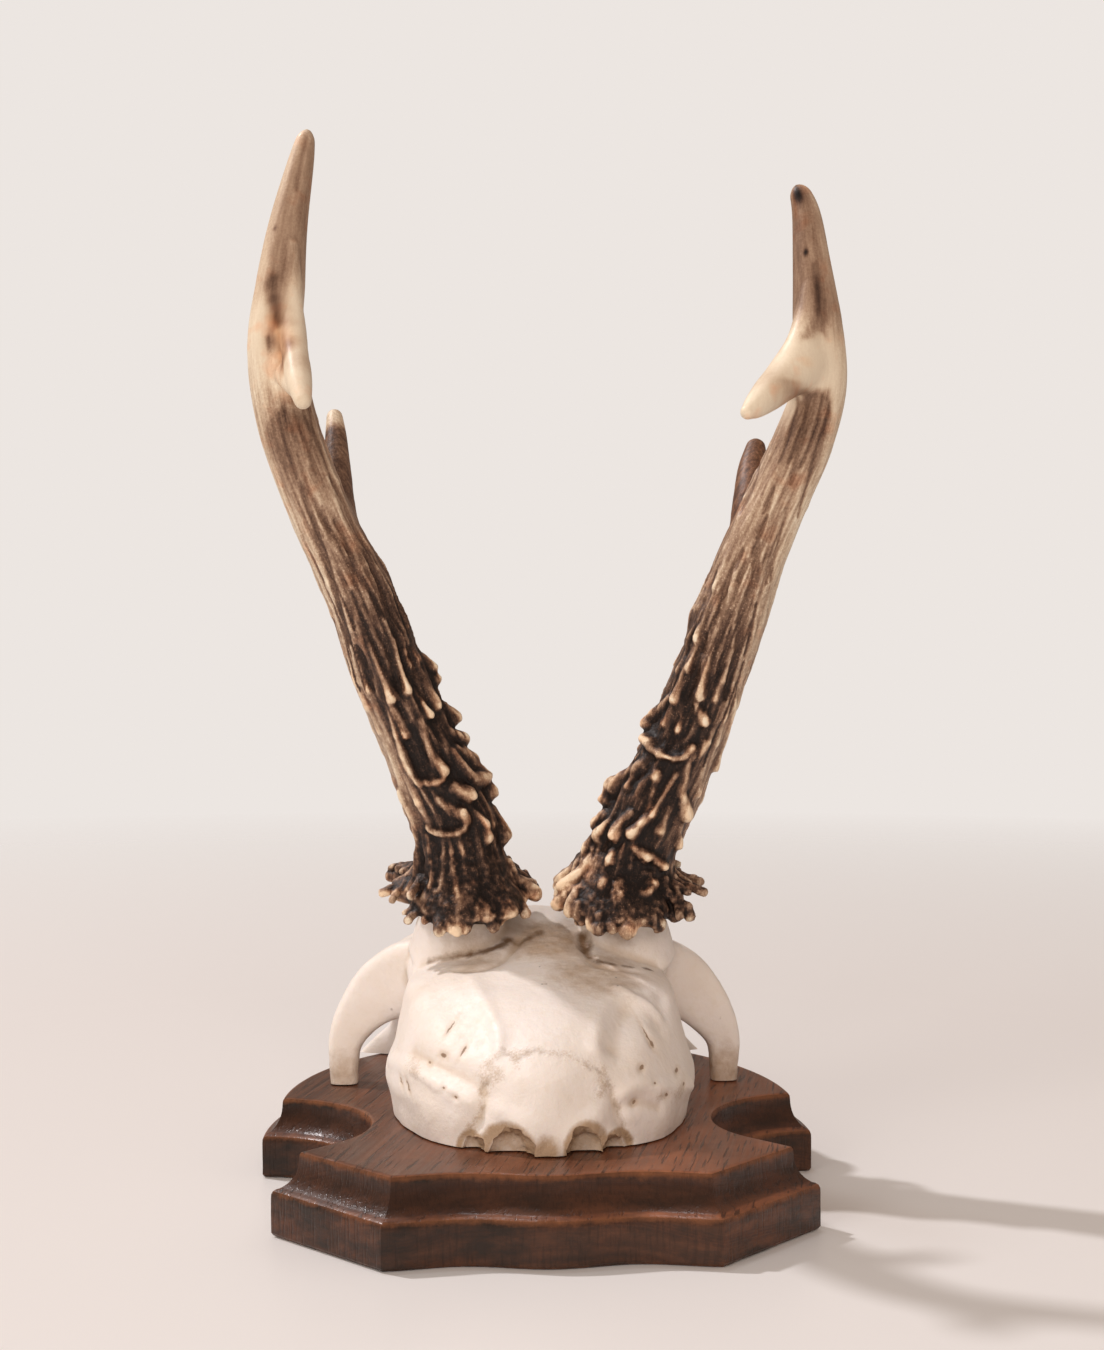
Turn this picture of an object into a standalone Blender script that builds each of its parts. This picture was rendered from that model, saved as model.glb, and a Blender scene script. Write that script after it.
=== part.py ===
"""Antlers of a roe buck on their skull cap, fixed to a small shield of stained wood.

Lengths are in millimetres until a mesh is made. X points right for someone behind the
skull, +Y along the muzzle and Z up, with the underside of the plaque at zero.
"""

import math

import bmesh
import bpy
import numpy as np
from mathutils import Vector

MM = 0.001
GAP = 0.3  # left between neighbouring pieces

# Plaque
PLAQUE_HEIGHT = 16.5
NEAR_EDGE_Y = -66.0
NEAR_EDGE_WAVE = 1.25
NEAR_EDGE_WAVE_PERIOD = 33.0
NEAR_CORNER_X = 31.6
EAR_TIP = (53.9, -42.7)
NOTCH_CENTRE = (60.5, -18.5)
NOTCH_RADIUS = 20.8
NOTCH_START_DEG = 218.4
NOTCH_END_DEG = 91.4
FAR_END_CENTRE_Y = 3.0
FAR_END_HALF_WIDTH = 60.0
FAR_END_LENGTH = 75.0
# Inset from the base outline and height, up the moulded edge
EDGE_PROFILE = [
    (0.7, 0.0), (0.0, 0.7), (0.0, 8.6), (0.6, 9.3), (1.6, 9.7), (2.8, 10.8),
    (3.6, 12.2), (4.0, 13.8), (4.1, 15.9), (4.7, PLAQUE_HEIGHT),
]

# Skull cap: height, half width, back and front of each level of the braincase
SEAT_Z = PLAQUE_HEIGHT + GAP
BRAINCASE_LEVELS = [
    (12.0, 30.6, -49.6, 40.0), (20.0, 31.9, -48.6, 40.0), (25.0, 33.0, -47.0, 38.0),
    (31.0, 31.2, -44.6, 35.0), (37.0, 29.8, -40.0, 32.0), (42.0, 28.2, -33.5, 30.0),
    (45.5, 25.0, -26.0, 28.0), (48.5, 19.5, -17.0, 26.0), (50.6, 11.0, -6.0, 22.0),
]
BRAINCASE_WALL = 3.4
CAVITY_FRONT_Y = 20.0
CAVITY_FLOOR_Z = 6.0
SKIN_VOXEL = 1.3  # grid that fuses the pieces of the skull
SOFTEN_STEPS = 4
KEPT_SHARE = 0.054  # of the fused skin's faces
# Forehead, orbit roofs and muzzle: Y, then the half section from the midline outwards and down
FOREHEAD_SECTIONS = [
    (-6.0, [(0, 50), (8, 49), (14, 47), (18, 42), (19, 34), (18, 26), (17, 20), (16, 12)]),
    (6.0, [(0, 52.5), (10, 51.5), (20, 49), (26, 45), (27, 38), (24, 30), (22, 22), (21, 12)]),
    (18.0, [(0, 56), (11, 55), (22, 52), (29, 47.5), (29, 40), (23, 33), (20, 24), (19, 12)]),
    (26.0, [(0, 56), (11, 55), (23, 52), (33, 46.5), (34, 42), (24, 38), (18, 28), (16, 12)]),
    (35.0, [(0, 53), (11, 52), (24, 48.5), (34.5, 42), (34, 38.5), (23, 36), (16, 28), (14, 12)]),
    (43.0, [(0, 48), (11, 47), (23, 43.5), (33, 37), (32.5, 33.5), (23, 32), (16, 25), (14, 12)]),
    (49.0, [(0, 44), (11, 43), (22, 38.5), (32, 31.5), (31.5, 28.5), (24, 27), (17, 22), (15, 12)]),
    (53.0, [(0, 41), (11, 40), (22, 35), (32.5, 27), (34, 22.5), (33, 18), (31, 15), (30, 12)]),
    (56.5, [(0, 38), (11, 36.5), (22, 31.5), (31, 25.5), (36, 21.8), (40, 18.2), (43, 15), (42, 12)]),
    (61.0, [(0, 35), (9, 34), (17, 30), (25, 25), (29, 21.5), (32, 18), (33.5, 15), (33, 12)]),
    (67.0, [(0, 30), (7, 29), (13, 26.5), (18, 23), (21, 20), (23, 18), (24, 15), (24, 12)]),
    (73.0, [(0, 24.5), (5, 24), (9, 22.5), (12, 20.5), (14, 19), (15.5, 17), (16, 15), (16, 12)]),
    (77.0, [(0, 20), (3, 20), (5, 19), (7, 18), (9, 17), (10, 16), (11, 14), (11, 12)]),
]
# Bar behind each orbit: outward, along Y, height, half width across, half thickness along Y
ORBIT_BAR = [
    (20.0, 16.0, 43.0, 7.5, 6.0), (28.0, 19.5, 41.0, 8.6, 5.0), (34.5, 21.5, 37.5, 7.6, 4.2),
    (39.5, 22.0, 32.5, 5.8, 3.8), (42.9, 22.0, 26.5, 4.1, 3.6), (43.3, 21.5, 20.5, 3.3, 3.4),
    (43.0, 21.5, 13.0, 2.9, 3.4),
]
HOLLOW_HALF_DEPTH = 2.2
# Shallow hollows in the lower edge at the back: X, Y, half width, height above the seat
OCCIPITAL_HOLLOWS = [(-8.1, -47.0, 3.9, 3.6), (-14.6, -45.0, 2.4, 2.2), (7.3, -47.0, 3.0, 3.6),
                     (13.2, -45.0, 2.6, 2.2)]

# Antlers: the burr sits on a plane that tips towards the back of the head
BURR_TILT_DEG = 20.0
PEDICLE_RADIUS = 8.7
# Depth below the burr's plane and extra radius, down a pedicle
PEDICLE_FLARE = [(12.0, 3.0), (5.0, 0.8), (2.5, 0.0), (-2.0, 0.0)]
BURR_SEAT_RADIUS = 16.0
BURR_SEAT_HEIGHT = 14.0
BURR_RISE = 13.0  # the axis straightens from the burr's plane to the beam over this length
# Axis of each beam and its radius: X, Y, Z, radius
LEFT_BEAM = [
    (-17.0, 9.0, 59.0, 8.6), (-17.1, 6.7, 68.0, 8.6), (-19.0, 5.0, 78.2, 8.7),
    (-26.0, 2.2, 94.5, 8.0), (-32.8, -0.4, 110.6, 7.8), (-39.0, -3.6, 127.5, 7.1),
    (-46.8, -7.0, 144.0, 6.5), (-53.2, -10.4, 161.5, 6.3), (-55.7, -11.8, 177.5, 5.9),
    (-54.8, -11.0, 190.5, 5.2), (-53.3, -9.3, 203.9, 4.1), (-50.7, -6.6, 218.5, 2.7),
    (-49.4, -5.8, 225.2, 1.6),
]
RIGHT_BEAM = [
    (19.4, 9.0, 58.5, 8.6), (20.6, 6.4, 69.3, 8.9), (25.3, 4.6, 80.0, 8.6),
    (31.6, 2.4, 93.5, 7.9), (37.2, -0.1, 108.9, 7.9), (41.7, -2.5, 122.3, 7.7),
    (46.2, -5.2, 135.5, 7.0), (51.4, -7.6, 148.0, 6.6), (56.3, -9.8, 159.5, 6.3),
    (59.3, -11.4, 171.5, 5.7), (58.7, -11.7, 183.5, 5.2), (57.7, -10.3, 197.1, 4.0),
    (56.8, -8.6, 207.9, 3.0), (55.0, -7.5, 214.2, 1.9),
]
LEFT_REAR_TINE = [(-55.0, -12.0, 180.0, 5.4), (-53.0, -17.0, 179.0, 4.9), (-50.6, -24.0, 172.5, 3.6),
                  (-48.4, -29.5, 166.0, 2.6), (-47.6, -32.0, 163.4, 1.5)]
RIGHT_REAR_TINE = [(57.5, -12.0, 175.5, 5.2), (53.0, -17.0, 172.5, 4.6), (48.0, -22.5, 168.4, 3.6),
                   (43.3, -28.0, 164.2, 2.5), (41.2, -30.2, 162.6, 1.5)]
LEFT_FRONT_TINE = [(-44.5, -5.5, 144.0, 4.6), (-43.2, -1.0, 151.0, 4.0), (-43.4, 5.0, 159.5, 2.9),
                   (-44.4, 9.5, 166.2, 1.5)]
RIGHT_FRONT_TINE = [(46.5, -4.5, 139.0, 4.8), (45.4, -0.5, 146.5, 4.3), (46.8, 5.0, 154.5, 3.0),
                    (48.6, 9.0, 160.4, 1.5)]
# Distance above the burr's plane and extra radius, up the skirt of the burr
BURR_SKIRT = [(0.0, 0.0), (1.2, 4.2), (2.4, 9.2), (3.6, 9.6), (5.2, 6.8), (7.6, 3.4), (10.5, 1.3),
              (14.0, 0.0)]
BURR_DROOP = 0.35
BURR_FINGERS = 13
RIDGES = 9
RIDGE_HEIGHT = 1.1
RIDGE_END_SHARE = 0.8  # of the beam, where the ridges have faded out
PEARL_HALF_LENGTH = 2.2
PEARL_HALF_WIDTH = 1.9
PEARL_SIZES = (1.0, 2.3)
ROUGH_SHARE = 0.55  # lower part of the beam that carries pearls
ROUGH_STEP = 3.2
BEAM_SIDES = 24
SMOOTH_STEP = 5.0
TIP_ROUNDING = 2.6  # length over which a tip closes
PEARLS_PER_BEAM = 40

BONE = ((0.86, 0.79, 0.66, 1.0), 0.55)
HORN = ((0.16, 0.09, 0.05, 1.0), 0.6)
PALE_HORN = ((0.62, 0.48, 0.33, 1.0), 0.45)
STAINED_WOOD = ((0.09, 0.03, 0.018, 1.0), 0.3)


def clear_scene():
    for obj in list(bpy.data.objects):
        bpy.data.objects.remove(obj, do_unlink=True)


def material(name, look):
    colour, roughness = look
    made = bpy.data.materials.new(name)
    made.use_nodes = True
    shader = made.node_tree.nodes["Principled BSDF"]
    shader.inputs["Base Color"].default_value = colour
    shader.inputs["Roughness"].default_value = roughness
    shader.inputs["Metallic"].default_value = 0.0
    made.diffuse_color = colour
    return made


def add_loft(mesh, loops):
    """Skin closed loops of equal length into one closed tube with flat ends."""
    rings = [[mesh.verts.new(Vector(point) * MM) for point in loop] for loop in loops]
    count = len(rings[0])
    for lower, upper in zip(rings, rings[1:]):
        for i in range(count):
            j = (i + 1) % count
            mesh.faces.new((lower[i], lower[j], upper[j], upper[i]))
    mesh.faces.new(list(reversed(rings[0])))
    mesh.faces.new(rings[-1])


def object_from(name, mesh, smooth=True):
    bmesh.ops.recalc_face_normals(mesh, faces=mesh.faces)
    data = bpy.data.meshes.new(name)
    mesh.to_mesh(data)
    mesh.free()
    for face in data.polygons:
        face.use_smooth = smooth
    obj = bpy.data.objects.new(name, data)
    bpy.context.scene.collection.objects.link(obj)
    return obj


def cutter_from(name, mesh):
    obj = object_from(name, mesh, smooth=False)
    obj.hide_render = True
    obj.display_type = "WIRE"
    return obj


def cut(obj, cutter):
    boolean = obj.modifiers.new(cutter.name, "BOOLEAN")
    boolean.operation = "DIFFERENCE"
    boolean.object = cutter


def add_box(mesh, low, high):
    corners = [(low[0], low[1]), (high[0], low[1]), (high[0], high[1]), (low[0], high[1])]
    add_loft(mesh, [[(x, y, z) for x, y in corners] for z in (low[2], high[2])])


# ---- plaque ----

def plaque_outline():
    """Base outline of the shield, anticlockwise from the middle of the near edge."""
    half = []
    for x in np.linspace(0.0, NEAR_CORNER_X, 9):
        wave = NEAR_EDGE_WAVE * math.cos(2 * math.pi * x / NEAR_EDGE_WAVE_PERIOD)
        half.append((x, NEAR_EDGE_Y - wave))
    half.append(EAR_TIP)
    for angle in np.radians(np.linspace(NOTCH_START_DEG, NOTCH_END_DEG, 11)):
        half.append((NOTCH_CENTRE[0] + NOTCH_RADIUS * math.cos(angle),
                     NOTCH_CENTRE[1] + NOTCH_RADIUS * math.sin(angle)))
    for angle in np.radians(np.linspace(0, 90, 13)):
        half.append((FAR_END_HALF_WIDTH * math.cos(angle),
                     FAR_END_CENTRE_Y + FAR_END_LENGTH * math.sin(angle)))
    half[-1] = (0.0, half[-1][1])
    mirrored = [(-x, y) for x, y in reversed(half[1:-1])]
    return [Vector(point) for point in half + mirrored]


def inset(outline, distance):
    """Move every side of an anticlockwise outline inwards by the same distance."""
    moved = []
    for i, point in enumerate(outline):
        before = (point - outline[i - 1]).normalized()
        after = (outline[(i + 1) % len(outline)] - point).normalized()
        inward = Vector((-before.y, before.x)), Vector((-after.y, after.x))
        mitre = (inward[0] + inward[1]) / (1.0 + inward[0].dot(inward[1]))
        moved.append(point + mitre * distance)
    return moved


def plaque():
    outline = plaque_outline()
    mesh = bmesh.new()
    add_loft(mesh, [[(p.x, p.y, z) for p in inset(outline, d)] for d, z in EDGE_PROFILE])
    obj = object_from("plaque", mesh, smooth=False)
    obj.data.materials.append(material("stained_wood", STAINED_WOOD))
    return obj


# ---- skull cap ----

def ellipse(half_width, back, front, z, count=28):
    middle = (back + front) / 2
    reach = (front - back) / 2
    return [(half_width * math.cos(a), middle + reach * math.sin(a), z)
            for a in np.linspace(0, 2 * math.pi, count, endpoint=False)]


def add_braincase(mesh):
    add_loft(mesh, [ellipse(w, back, front, z) for z, w, back, front in BRAINCASE_LEVELS])


def add_forehead(mesh):
    loops = []
    for y, half in FOREHEAD_SECTIONS:
        right = [(x, y, z) for x, z in half]
        left = [(-x, y, z) for x, z in reversed(half[1:])]
        loops.append(right + left)
    add_loft(mesh, loops)


def add_orbit_bar(mesh, side):
    """Bar from the brow down to the plaque behind one orbit, of flattened round section."""
    points = [Vector((side * x, y, z)) for x, y, z, _, _ in ORBIT_BAR]
    loops = []
    for i, (point, row) in enumerate(zip(points, ORBIT_BAR)):
        along = (points[min(i + 1, len(points) - 1)] - points[max(i - 1, 0)]).normalized()
        across = Vector((0, 1, 0)).cross(along).normalized()
        thick = along.cross(across)
        loops.append([point + across * row[3] * math.cos(a) + thick * row[4] * math.sin(a)
                      for a in np.linspace(0, 2 * math.pi, 12, endpoint=False)])
    add_loft(mesh, loops)


def burr_frame(beam):
    """Centre and three axes of the plane where a burr meets its pedicle."""
    tilt = math.radians(BURR_TILT_DEG)
    up = Vector((0, -math.sin(tilt), math.cos(tilt)))
    right = Vector((1, 0, 0))
    return Vector(beam[0][:3]), right, up.cross(right), up


def disc(centre, right, forward, radius, count=20):
    return [centre + right * radius * math.cos(a) + forward * radius * math.sin(a)
            for a in np.linspace(0, 2 * math.pi, count, endpoint=False)]


def add_pedicle(mesh, beam):
    centre, right, forward, up = burr_frame(beam)
    loops = []
    for depth, extra in PEDICLE_FLARE:
        loops.append(disc(centre - up * depth, right, forward, PEDICLE_RADIUS + extra))
    add_loft(mesh, loops)


def underside_cutter():
    """Everything below the face that rests on the plaque."""
    mesh = bmesh.new()
    add_box(mesh, (-80, -80, 0), (80, 100, SEAT_Z))
    return cutter_from("underside", mesh)


def cavity_cutter():
    mesh = bmesh.new()
    loops = []
    for z, half_width, back, _ in BRAINCASE_LEVELS[:-2]:
        level = max(z - BRAINCASE_WALL, CAVITY_FLOOR_Z)
        loops.append(ellipse(half_width - BRAINCASE_WALL, back + BRAINCASE_WALL, CAVITY_FRONT_Y, level))
    add_loft(mesh, loops)
    return cutter_from("brain_cavity", mesh)


def burr_seat_cutter(name, beam):
    """Trims a pedicle flat just below its burr."""
    centre, right, forward, up = burr_frame(beam)
    mesh = bmesh.new()
    loops = [disc(centre + up * rise, right, forward, BURR_SEAT_RADIUS)
             for rise in (-GAP, BURR_SEAT_HEIGHT)]
    add_loft(mesh, loops)
    return cutter_from(name, mesh)


def occipital_cutter():
    mesh = bmesh.new()
    for x, y, half_width, rise in OCCIPITAL_HOLLOWS:
        loops = []
        for share in (-0.9, -0.5, 0.0, 0.5, 0.9):
            size = math.sqrt(1 - share * share)
            loops.append([(x + half_width * size * math.cos(a), y + HOLLOW_HALF_DEPTH * share,
                           SEAT_Z + rise * size * math.sin(a))
                          for a in np.linspace(0, 2 * math.pi, 12, endpoint=False)])
        add_loft(mesh, loops)
    return cutter_from("occipital_hollows", mesh)


def skull_cap():
    mesh = bmesh.new()
    add_braincase(mesh)
    add_forehead(mesh)
    for side in (-1, 1):
        add_orbit_bar(mesh, side)
    for beam in (LEFT_BEAM, RIGHT_BEAM):
        add_pedicle(mesh, beam)
    obj = object_from("skull_cap", mesh)
    remesh = obj.modifiers.new("one skin", "REMESH")
    remesh.mode = "VOXEL"
    remesh.voxel_size = SKIN_VOXEL * MM
    remesh.use_smooth_shade = True
    relax = obj.modifiers.new("soften", "SMOOTH")
    relax.factor = 0.5
    relax.iterations = SOFTEN_STEPS
    lighten = obj.modifiers.new("lighten", "DECIMATE")
    lighten.ratio = KEPT_SHARE
    cut(obj, underside_cutter())
    cut(obj, cavity_cutter())
    cut(obj, occipital_cutter())
    cut(obj, burr_seat_cutter("left_burr_seat", LEFT_BEAM))
    cut(obj, burr_seat_cutter("right_burr_seat", RIGHT_BEAM))
    obj.data.materials.append(material("bone", BONE))
    return obj


# ---- antlers ----

def spline(points, t):
    """Catmull-Rom point of a list of rows at t, where a whole number is a row."""
    rows = np.array(points, float)
    i = min(int(t), len(rows) - 2)
    u = t - i
    before = rows[i - 1] if i > 0 else 2 * rows[0] - rows[1]
    after = rows[i + 2] if i + 2 < len(rows) else 2 * rows[-1] - rows[-2]
    a, b, c, d = before, rows[i], rows[i + 1], after
    return 0.5 * (2 * b + (c - a) * u + (2 * a - 5 * b + 4 * c - d) * u**2
                  + (3 * b - a - 3 * c + d) * u**3)


def walk(points, step):
    """Rows of position, radius, tangent and distance at even steps along a spline."""
    fine = [spline(points, t) for t in np.linspace(0, len(points) - 1, 40 * len(points))]
    fine = np.array(fine)
    gone = np.concatenate([[0], np.cumsum(np.linalg.norm(np.diff(fine[:, :3], axis=0), axis=1))])
    stops = np.linspace(0, gone[-1], max(3, round(gone[-1] / step) + 1))
    rows = np.array([[np.interp(s, gone, fine[:, k]) for k in range(4)] for s in stops])
    tangents = np.gradient(rows[:, :3], axis=0)
    return [(Vector(row[:3]), row[3], Vector(tangent).normalized(), s)
            for row, tangent, s in zip(rows, tangents, stops)]


def section_axes(tangent):
    """Axes of a section square to the tangent: towards +X, and towards the back of the head."""
    side = Vector((1, 0, 0))
    side = (side - tangent * side.dot(tangent)).normalized()
    return side, side.cross(tangent)


def tip_share(s, length):
    into = max(0.0, (s - length + TIP_ROUNDING) / TIP_ROUNDING)
    return math.sqrt(max(0.05, 1.0 - into * into))


def pearl_places(seed, length):
    """Distance up the beam, angle and size of each pearl, denser and larger near the burr."""
    chance = np.random.RandomState(seed)
    rise = 8.0 + length * ROUGH_SHARE * chance.rand(PEARLS_PER_BEAM) ** 1.5
    angle = 2 * math.pi * chance.rand(PEARLS_PER_BEAM)
    size = chance.uniform(*PEARL_SIZES, PEARLS_PER_BEAM) * (1.15 - rise / length)
    return list(zip(rise, angle, size))


def relief(s, angle, radius, length, pearls, phase):
    """Height of the ridges and pearls above the smooth beam."""
    share = s / length
    wander = 0.35 * math.sin(4.0 * share + phase) + 0.5 * share
    ridge = 0.5 + 0.5 * math.cos(RIDGES * (angle + wander) + phase)
    fade = min(1.0, s / BURR_RISE) * max(0.0, 1.0 - share / RIDGE_END_SHARE)
    height = RIDGE_HEIGHT * ridge * fade
    for rise, place, size in pearls:
        turn = (angle - place + math.pi) % (2 * math.pi) - math.pi
        apart = ((s - rise) / PEARL_HALF_LENGTH) ** 2 + (turn * radius / PEARL_HALF_WIDTH) ** 2
        height += size * math.exp(-apart)
    return height


def beam_rows(beam):
    """Rows of position, radius, tangent and distance, closer together in the rough half."""
    fine = walk(beam, 0.5)
    gone = [row[3] for row in fine]
    length = gone[-1]
    stops = [rise for rise, _ in BURR_SKIRT] + list(np.arange(17.0, length * ROUGH_SHARE, ROUGH_STEP))
    stops += list(np.arange(stops[-1] + SMOOTH_STEP, length - 4.0, SMOOTH_STEP))
    stops += [length - TIP_ROUNDING, length - 1.0, length]
    rows = []
    for s in stops:
        point = Vector([np.interp(s, gone, [row[0][k] for row in fine]) for k in range(3)])
        tangent = Vector([np.interp(s, gone, [row[2][k] for row in fine]) for k in range(3)])
        radius = np.interp(s, gone, [row[1] for row in fine])
        rows.append((point, radius * tip_share(s, length), tangent.normalized(), s))
    return rows, length


def add_beam(mesh, beam, seed, extra=0.0):
    rows, length = beam_rows(beam)
    up = burr_frame(beam)[3]
    pearls = pearl_places(seed, length)
    chance = np.random.RandomState(seed + 50)
    finger_phase, uneven = chance.rand(2) * 2 * math.pi
    loops = []
    for point, radius, tangent, s in rows:
        blend = min(1.0, s / BURR_RISE)
        axis = up.lerp(tangent, blend * blend * (3 - 2 * blend)).normalized()
        side, back = section_axes(axis)
        skirt = np.interp(s, [r for r, _ in BURR_SKIRT], [e for _, e in BURR_SKIRT])
        loop = []
        for angle in np.linspace(0, 2 * math.pi, BEAM_SIDES, endpoint=False):
            finger = 0.82 + 0.18 * math.cos(BURR_FINGERS * angle + finger_phase)
            finger += 0.1 * math.sin(3 * angle + uneven)
            flare = skirt * finger
            reach = radius + flare + relief(s, angle, radius, length, pearls, finger_phase) + extra
            if s == 0.0:
                reach = radius
            direction = back * math.cos(angle) + side * math.sin(angle)
            loop.append(point + direction * reach - axis * BURR_DROOP * flare)
        loops.append(loop)
    add_loft(mesh, loops)


def beam_object(name, beam, seed):
    mesh = bmesh.new()
    add_beam(mesh, beam, seed)
    obj = object_from(name, mesh)
    obj.data.materials.append(material(name + "_horn", HORN))
    return obj


def tine_object(name, tine, beam, seed):
    """A tine, cut back to just clear of its beam."""
    mesh = bmesh.new()
    loops = []
    rows = walk(tine, 2.8)
    for point, radius, tangent, s in rows:
        side, back = section_axes(tangent)
        reach = radius * tip_share(s, rows[-1][3])
        loops.append([point + (side * math.sin(a) + back * math.cos(a)) * reach
                      for a in np.linspace(0, 2 * math.pi, 12, endpoint=False)])
    add_loft(mesh, loops)
    obj = object_from(name, mesh)
    clearance = bmesh.new()
    add_beam(clearance, beam, seed, extra=GAP)
    cut(obj, cutter_from(name + "_fork", clearance))
    obj.data.materials.append(material(name + "_horn", PALE_HORN))
    return obj


def main():
    clear_scene()
    plaque()
    skull_cap()
    beam_object("left_beam", LEFT_BEAM, 11)
    tine_object("left_rear_tine", LEFT_REAR_TINE, LEFT_BEAM, 11)
    tine_object("left_front_tine", LEFT_FRONT_TINE, LEFT_BEAM, 11)
    beam_object("right_beam", RIGHT_BEAM, 23)
    tine_object("right_rear_tine", RIGHT_REAR_TINE, RIGHT_BEAM, 23)
    tine_object("right_front_tine", RIGHT_FRONT_TINE, RIGHT_BEAM, 23)


main()
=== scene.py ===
"""Finished looks of a roe buck's antlers, skull cap and stained shield, around their solids.

Lengths are in millimetres until a mesh is made. X points right for someone behind the
skull, +Y along the muzzle and Z up, with the underside of the plaque at zero.
"""

import math
from types import SimpleNamespace

import bpy
import numpy as np
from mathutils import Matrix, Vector, kdtree

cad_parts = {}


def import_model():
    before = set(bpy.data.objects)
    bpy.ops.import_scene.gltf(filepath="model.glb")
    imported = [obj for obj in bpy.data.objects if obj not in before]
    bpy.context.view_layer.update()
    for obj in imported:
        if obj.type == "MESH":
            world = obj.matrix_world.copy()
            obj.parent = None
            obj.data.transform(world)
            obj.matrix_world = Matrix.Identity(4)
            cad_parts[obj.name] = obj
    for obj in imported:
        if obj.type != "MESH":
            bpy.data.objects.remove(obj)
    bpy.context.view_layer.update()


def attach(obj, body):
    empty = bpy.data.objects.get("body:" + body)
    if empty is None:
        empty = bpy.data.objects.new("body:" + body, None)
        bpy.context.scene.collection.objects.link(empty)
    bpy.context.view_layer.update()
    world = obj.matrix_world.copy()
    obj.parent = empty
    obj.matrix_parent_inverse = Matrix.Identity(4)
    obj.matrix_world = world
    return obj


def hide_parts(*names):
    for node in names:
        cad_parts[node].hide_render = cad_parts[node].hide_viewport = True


MM = 0.001
SEAT_GAP = 0.3  # between the plaque and the skull
SOFTEN_IN = 0.50
SOFTEN_OUT = 0.52

# ---- antlers ----
HORN_VOXEL = 0.40
BURR_TILT_DEG = 20.0
BURR_RISE = 13.0  # the axis straightens from the burr's plane to the beam over this length
TIP_ROUNDING = 2.6
# Axis of each beam and its radius: X, Y, Z, radius
LEFT_BEAM = [
    (-17, 9, 59, 8.6), (-17.1, 6.7, 68, 8.6), (-19, 5, 78.2, 8.7), (-26, 2.2, 94.5, 8),
    (-32.8, -0.4, 110.6, 7.8), (-39, -3.6, 127.5, 7.1), (-46.8, -7, 144, 6.5), (-53.2, -10.4, 161.5, 6.3),
    (-55.7, -11.8, 177.5, 5.9), (-54.8, -11, 190.5, 5.2), (-53.3, -9.3, 203.9, 4.1),
    (-50.7, -6.6, 218.5, 2.7), (-49.4, -5.8, 225.2, 1.6),
]
RIGHT_BEAM = [
    (19.4, 9, 58.5, 8.6), (20.6, 6.4, 69.3, 8.9), (25.3, 4.6, 80, 8.6), (31.6, 2.4, 93.5, 7.9),
    (37.2, -0.1, 108.9, 7.9), (41.7, -2.5, 122.3, 7.7), (46.2, -5.2, 135.5, 7), (51.4, -7.6, 148, 6.6),
    (56.3, -9.8, 159.5, 6.3), (59.3, -11.4, 171.5, 5.7), (58.7, -11.7, 183.5, 5.2),
    (57.7, -10.3, 197.1, 4), (56.8, -8.6, 207.9, 3), (55, -7.5, 214.2, 1.9),
]
LEFT_REAR_TINE = [
    (-53, -11.5, 184, 3.2), (-51.8, -16.5, 180, 3.1), (-50.7, -21.5, 174.5, 2.9),
    (-49.5, -27.3, 168.4, 2.6), (-48.5, -31.4, 164.2, 1.8),
]
RIGHT_REAR_TINE = [
    (57.5, -12, 176.5, 5.6), (53.4, -16.6, 173.4, 5.4), (48.2, -22.2, 168.8, 4.1),
    (43.4, -27.8, 164.4, 2.7), (41.2, -30.2, 162.6, 1.6),
]
LEFT_FRONT_TINE = [
    (-40.6, -3.4, 131, 4.4), (-42.8, -2.2, 143, 3.8), (-43.7, 1.8, 153, 3.1), (-44.2, 6.2, 161, 2.4),
    (-44.7, 9.5, 166, 1.8),
]
RIGHT_FRONT_TINE = [
    (42.6, -2.6, 125, 4.9), (45.4, -2.2, 137, 4.9), (46.6, 0.6, 146.5, 4.3), (47.4, 5, 154, 3.4),
    (48.5, 8.3, 159.4, 2.3),
]
# Ridges that join the rear tines to the beam above them, and a web below the left one
LEFT_KEEL = [
    (-52.8, -12.5, 199, 2.2), (-52.2, -14.5, 189, 2.4), (-51.2, -18.5, 179.5, 2.6),
    (-50.2, -23.5, 172, 2.4),
]
LEFT_HEEL = [
    (-57.5, -8.5, 176, 2.8), (-54.6, -14, 173.4, 2.8), (-52, -20, 170.4, 2.6), (-50, -26.5, 167.4, 2.2),
]
RIGHT_KEEL = [
    (57.6, -12.5, 193, 2.6), (56.2, -14.6, 184, 3.2), (53, -18, 176, 3.5), (48.5, -22.5, 169, 3.2),
]
AXIS_STOPS = 420
BEAM_STEP = 0.42
BEAM_SIDES = 132
# Distance above the burr's plane and extra radius, up the collar that carries the burr
BURR_APRON = [
    (0, 0), (0.8, 3.6), (2, 6.2), (3.6, 6.8), (5.2, 5.6), (7, 3.6), (9, 1.9), (12, 0.6), (16, 0),
]
BURR_DROOP = 0.12
# Mean radius of the burr, of the beam where pearls and drips are, and of its top
BURR_RADIUS = 12.0
PEARLED_RADIUS = 8.5
DRIPPED_RADIUS = 8
TOP_RADIUS = 5.5
BURR_KNOBS = 110
# Fingers of the burr: count, then distance above the plane and extra radius at top, middle and tip
BURR_TIERS = [
    (19, (6.8, 1.8), (4.6, 5.2), (2.3, 7.4)), (12, (10.5, 0.2), (7.4, 2.6), (5, 5.2)),
]
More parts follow.
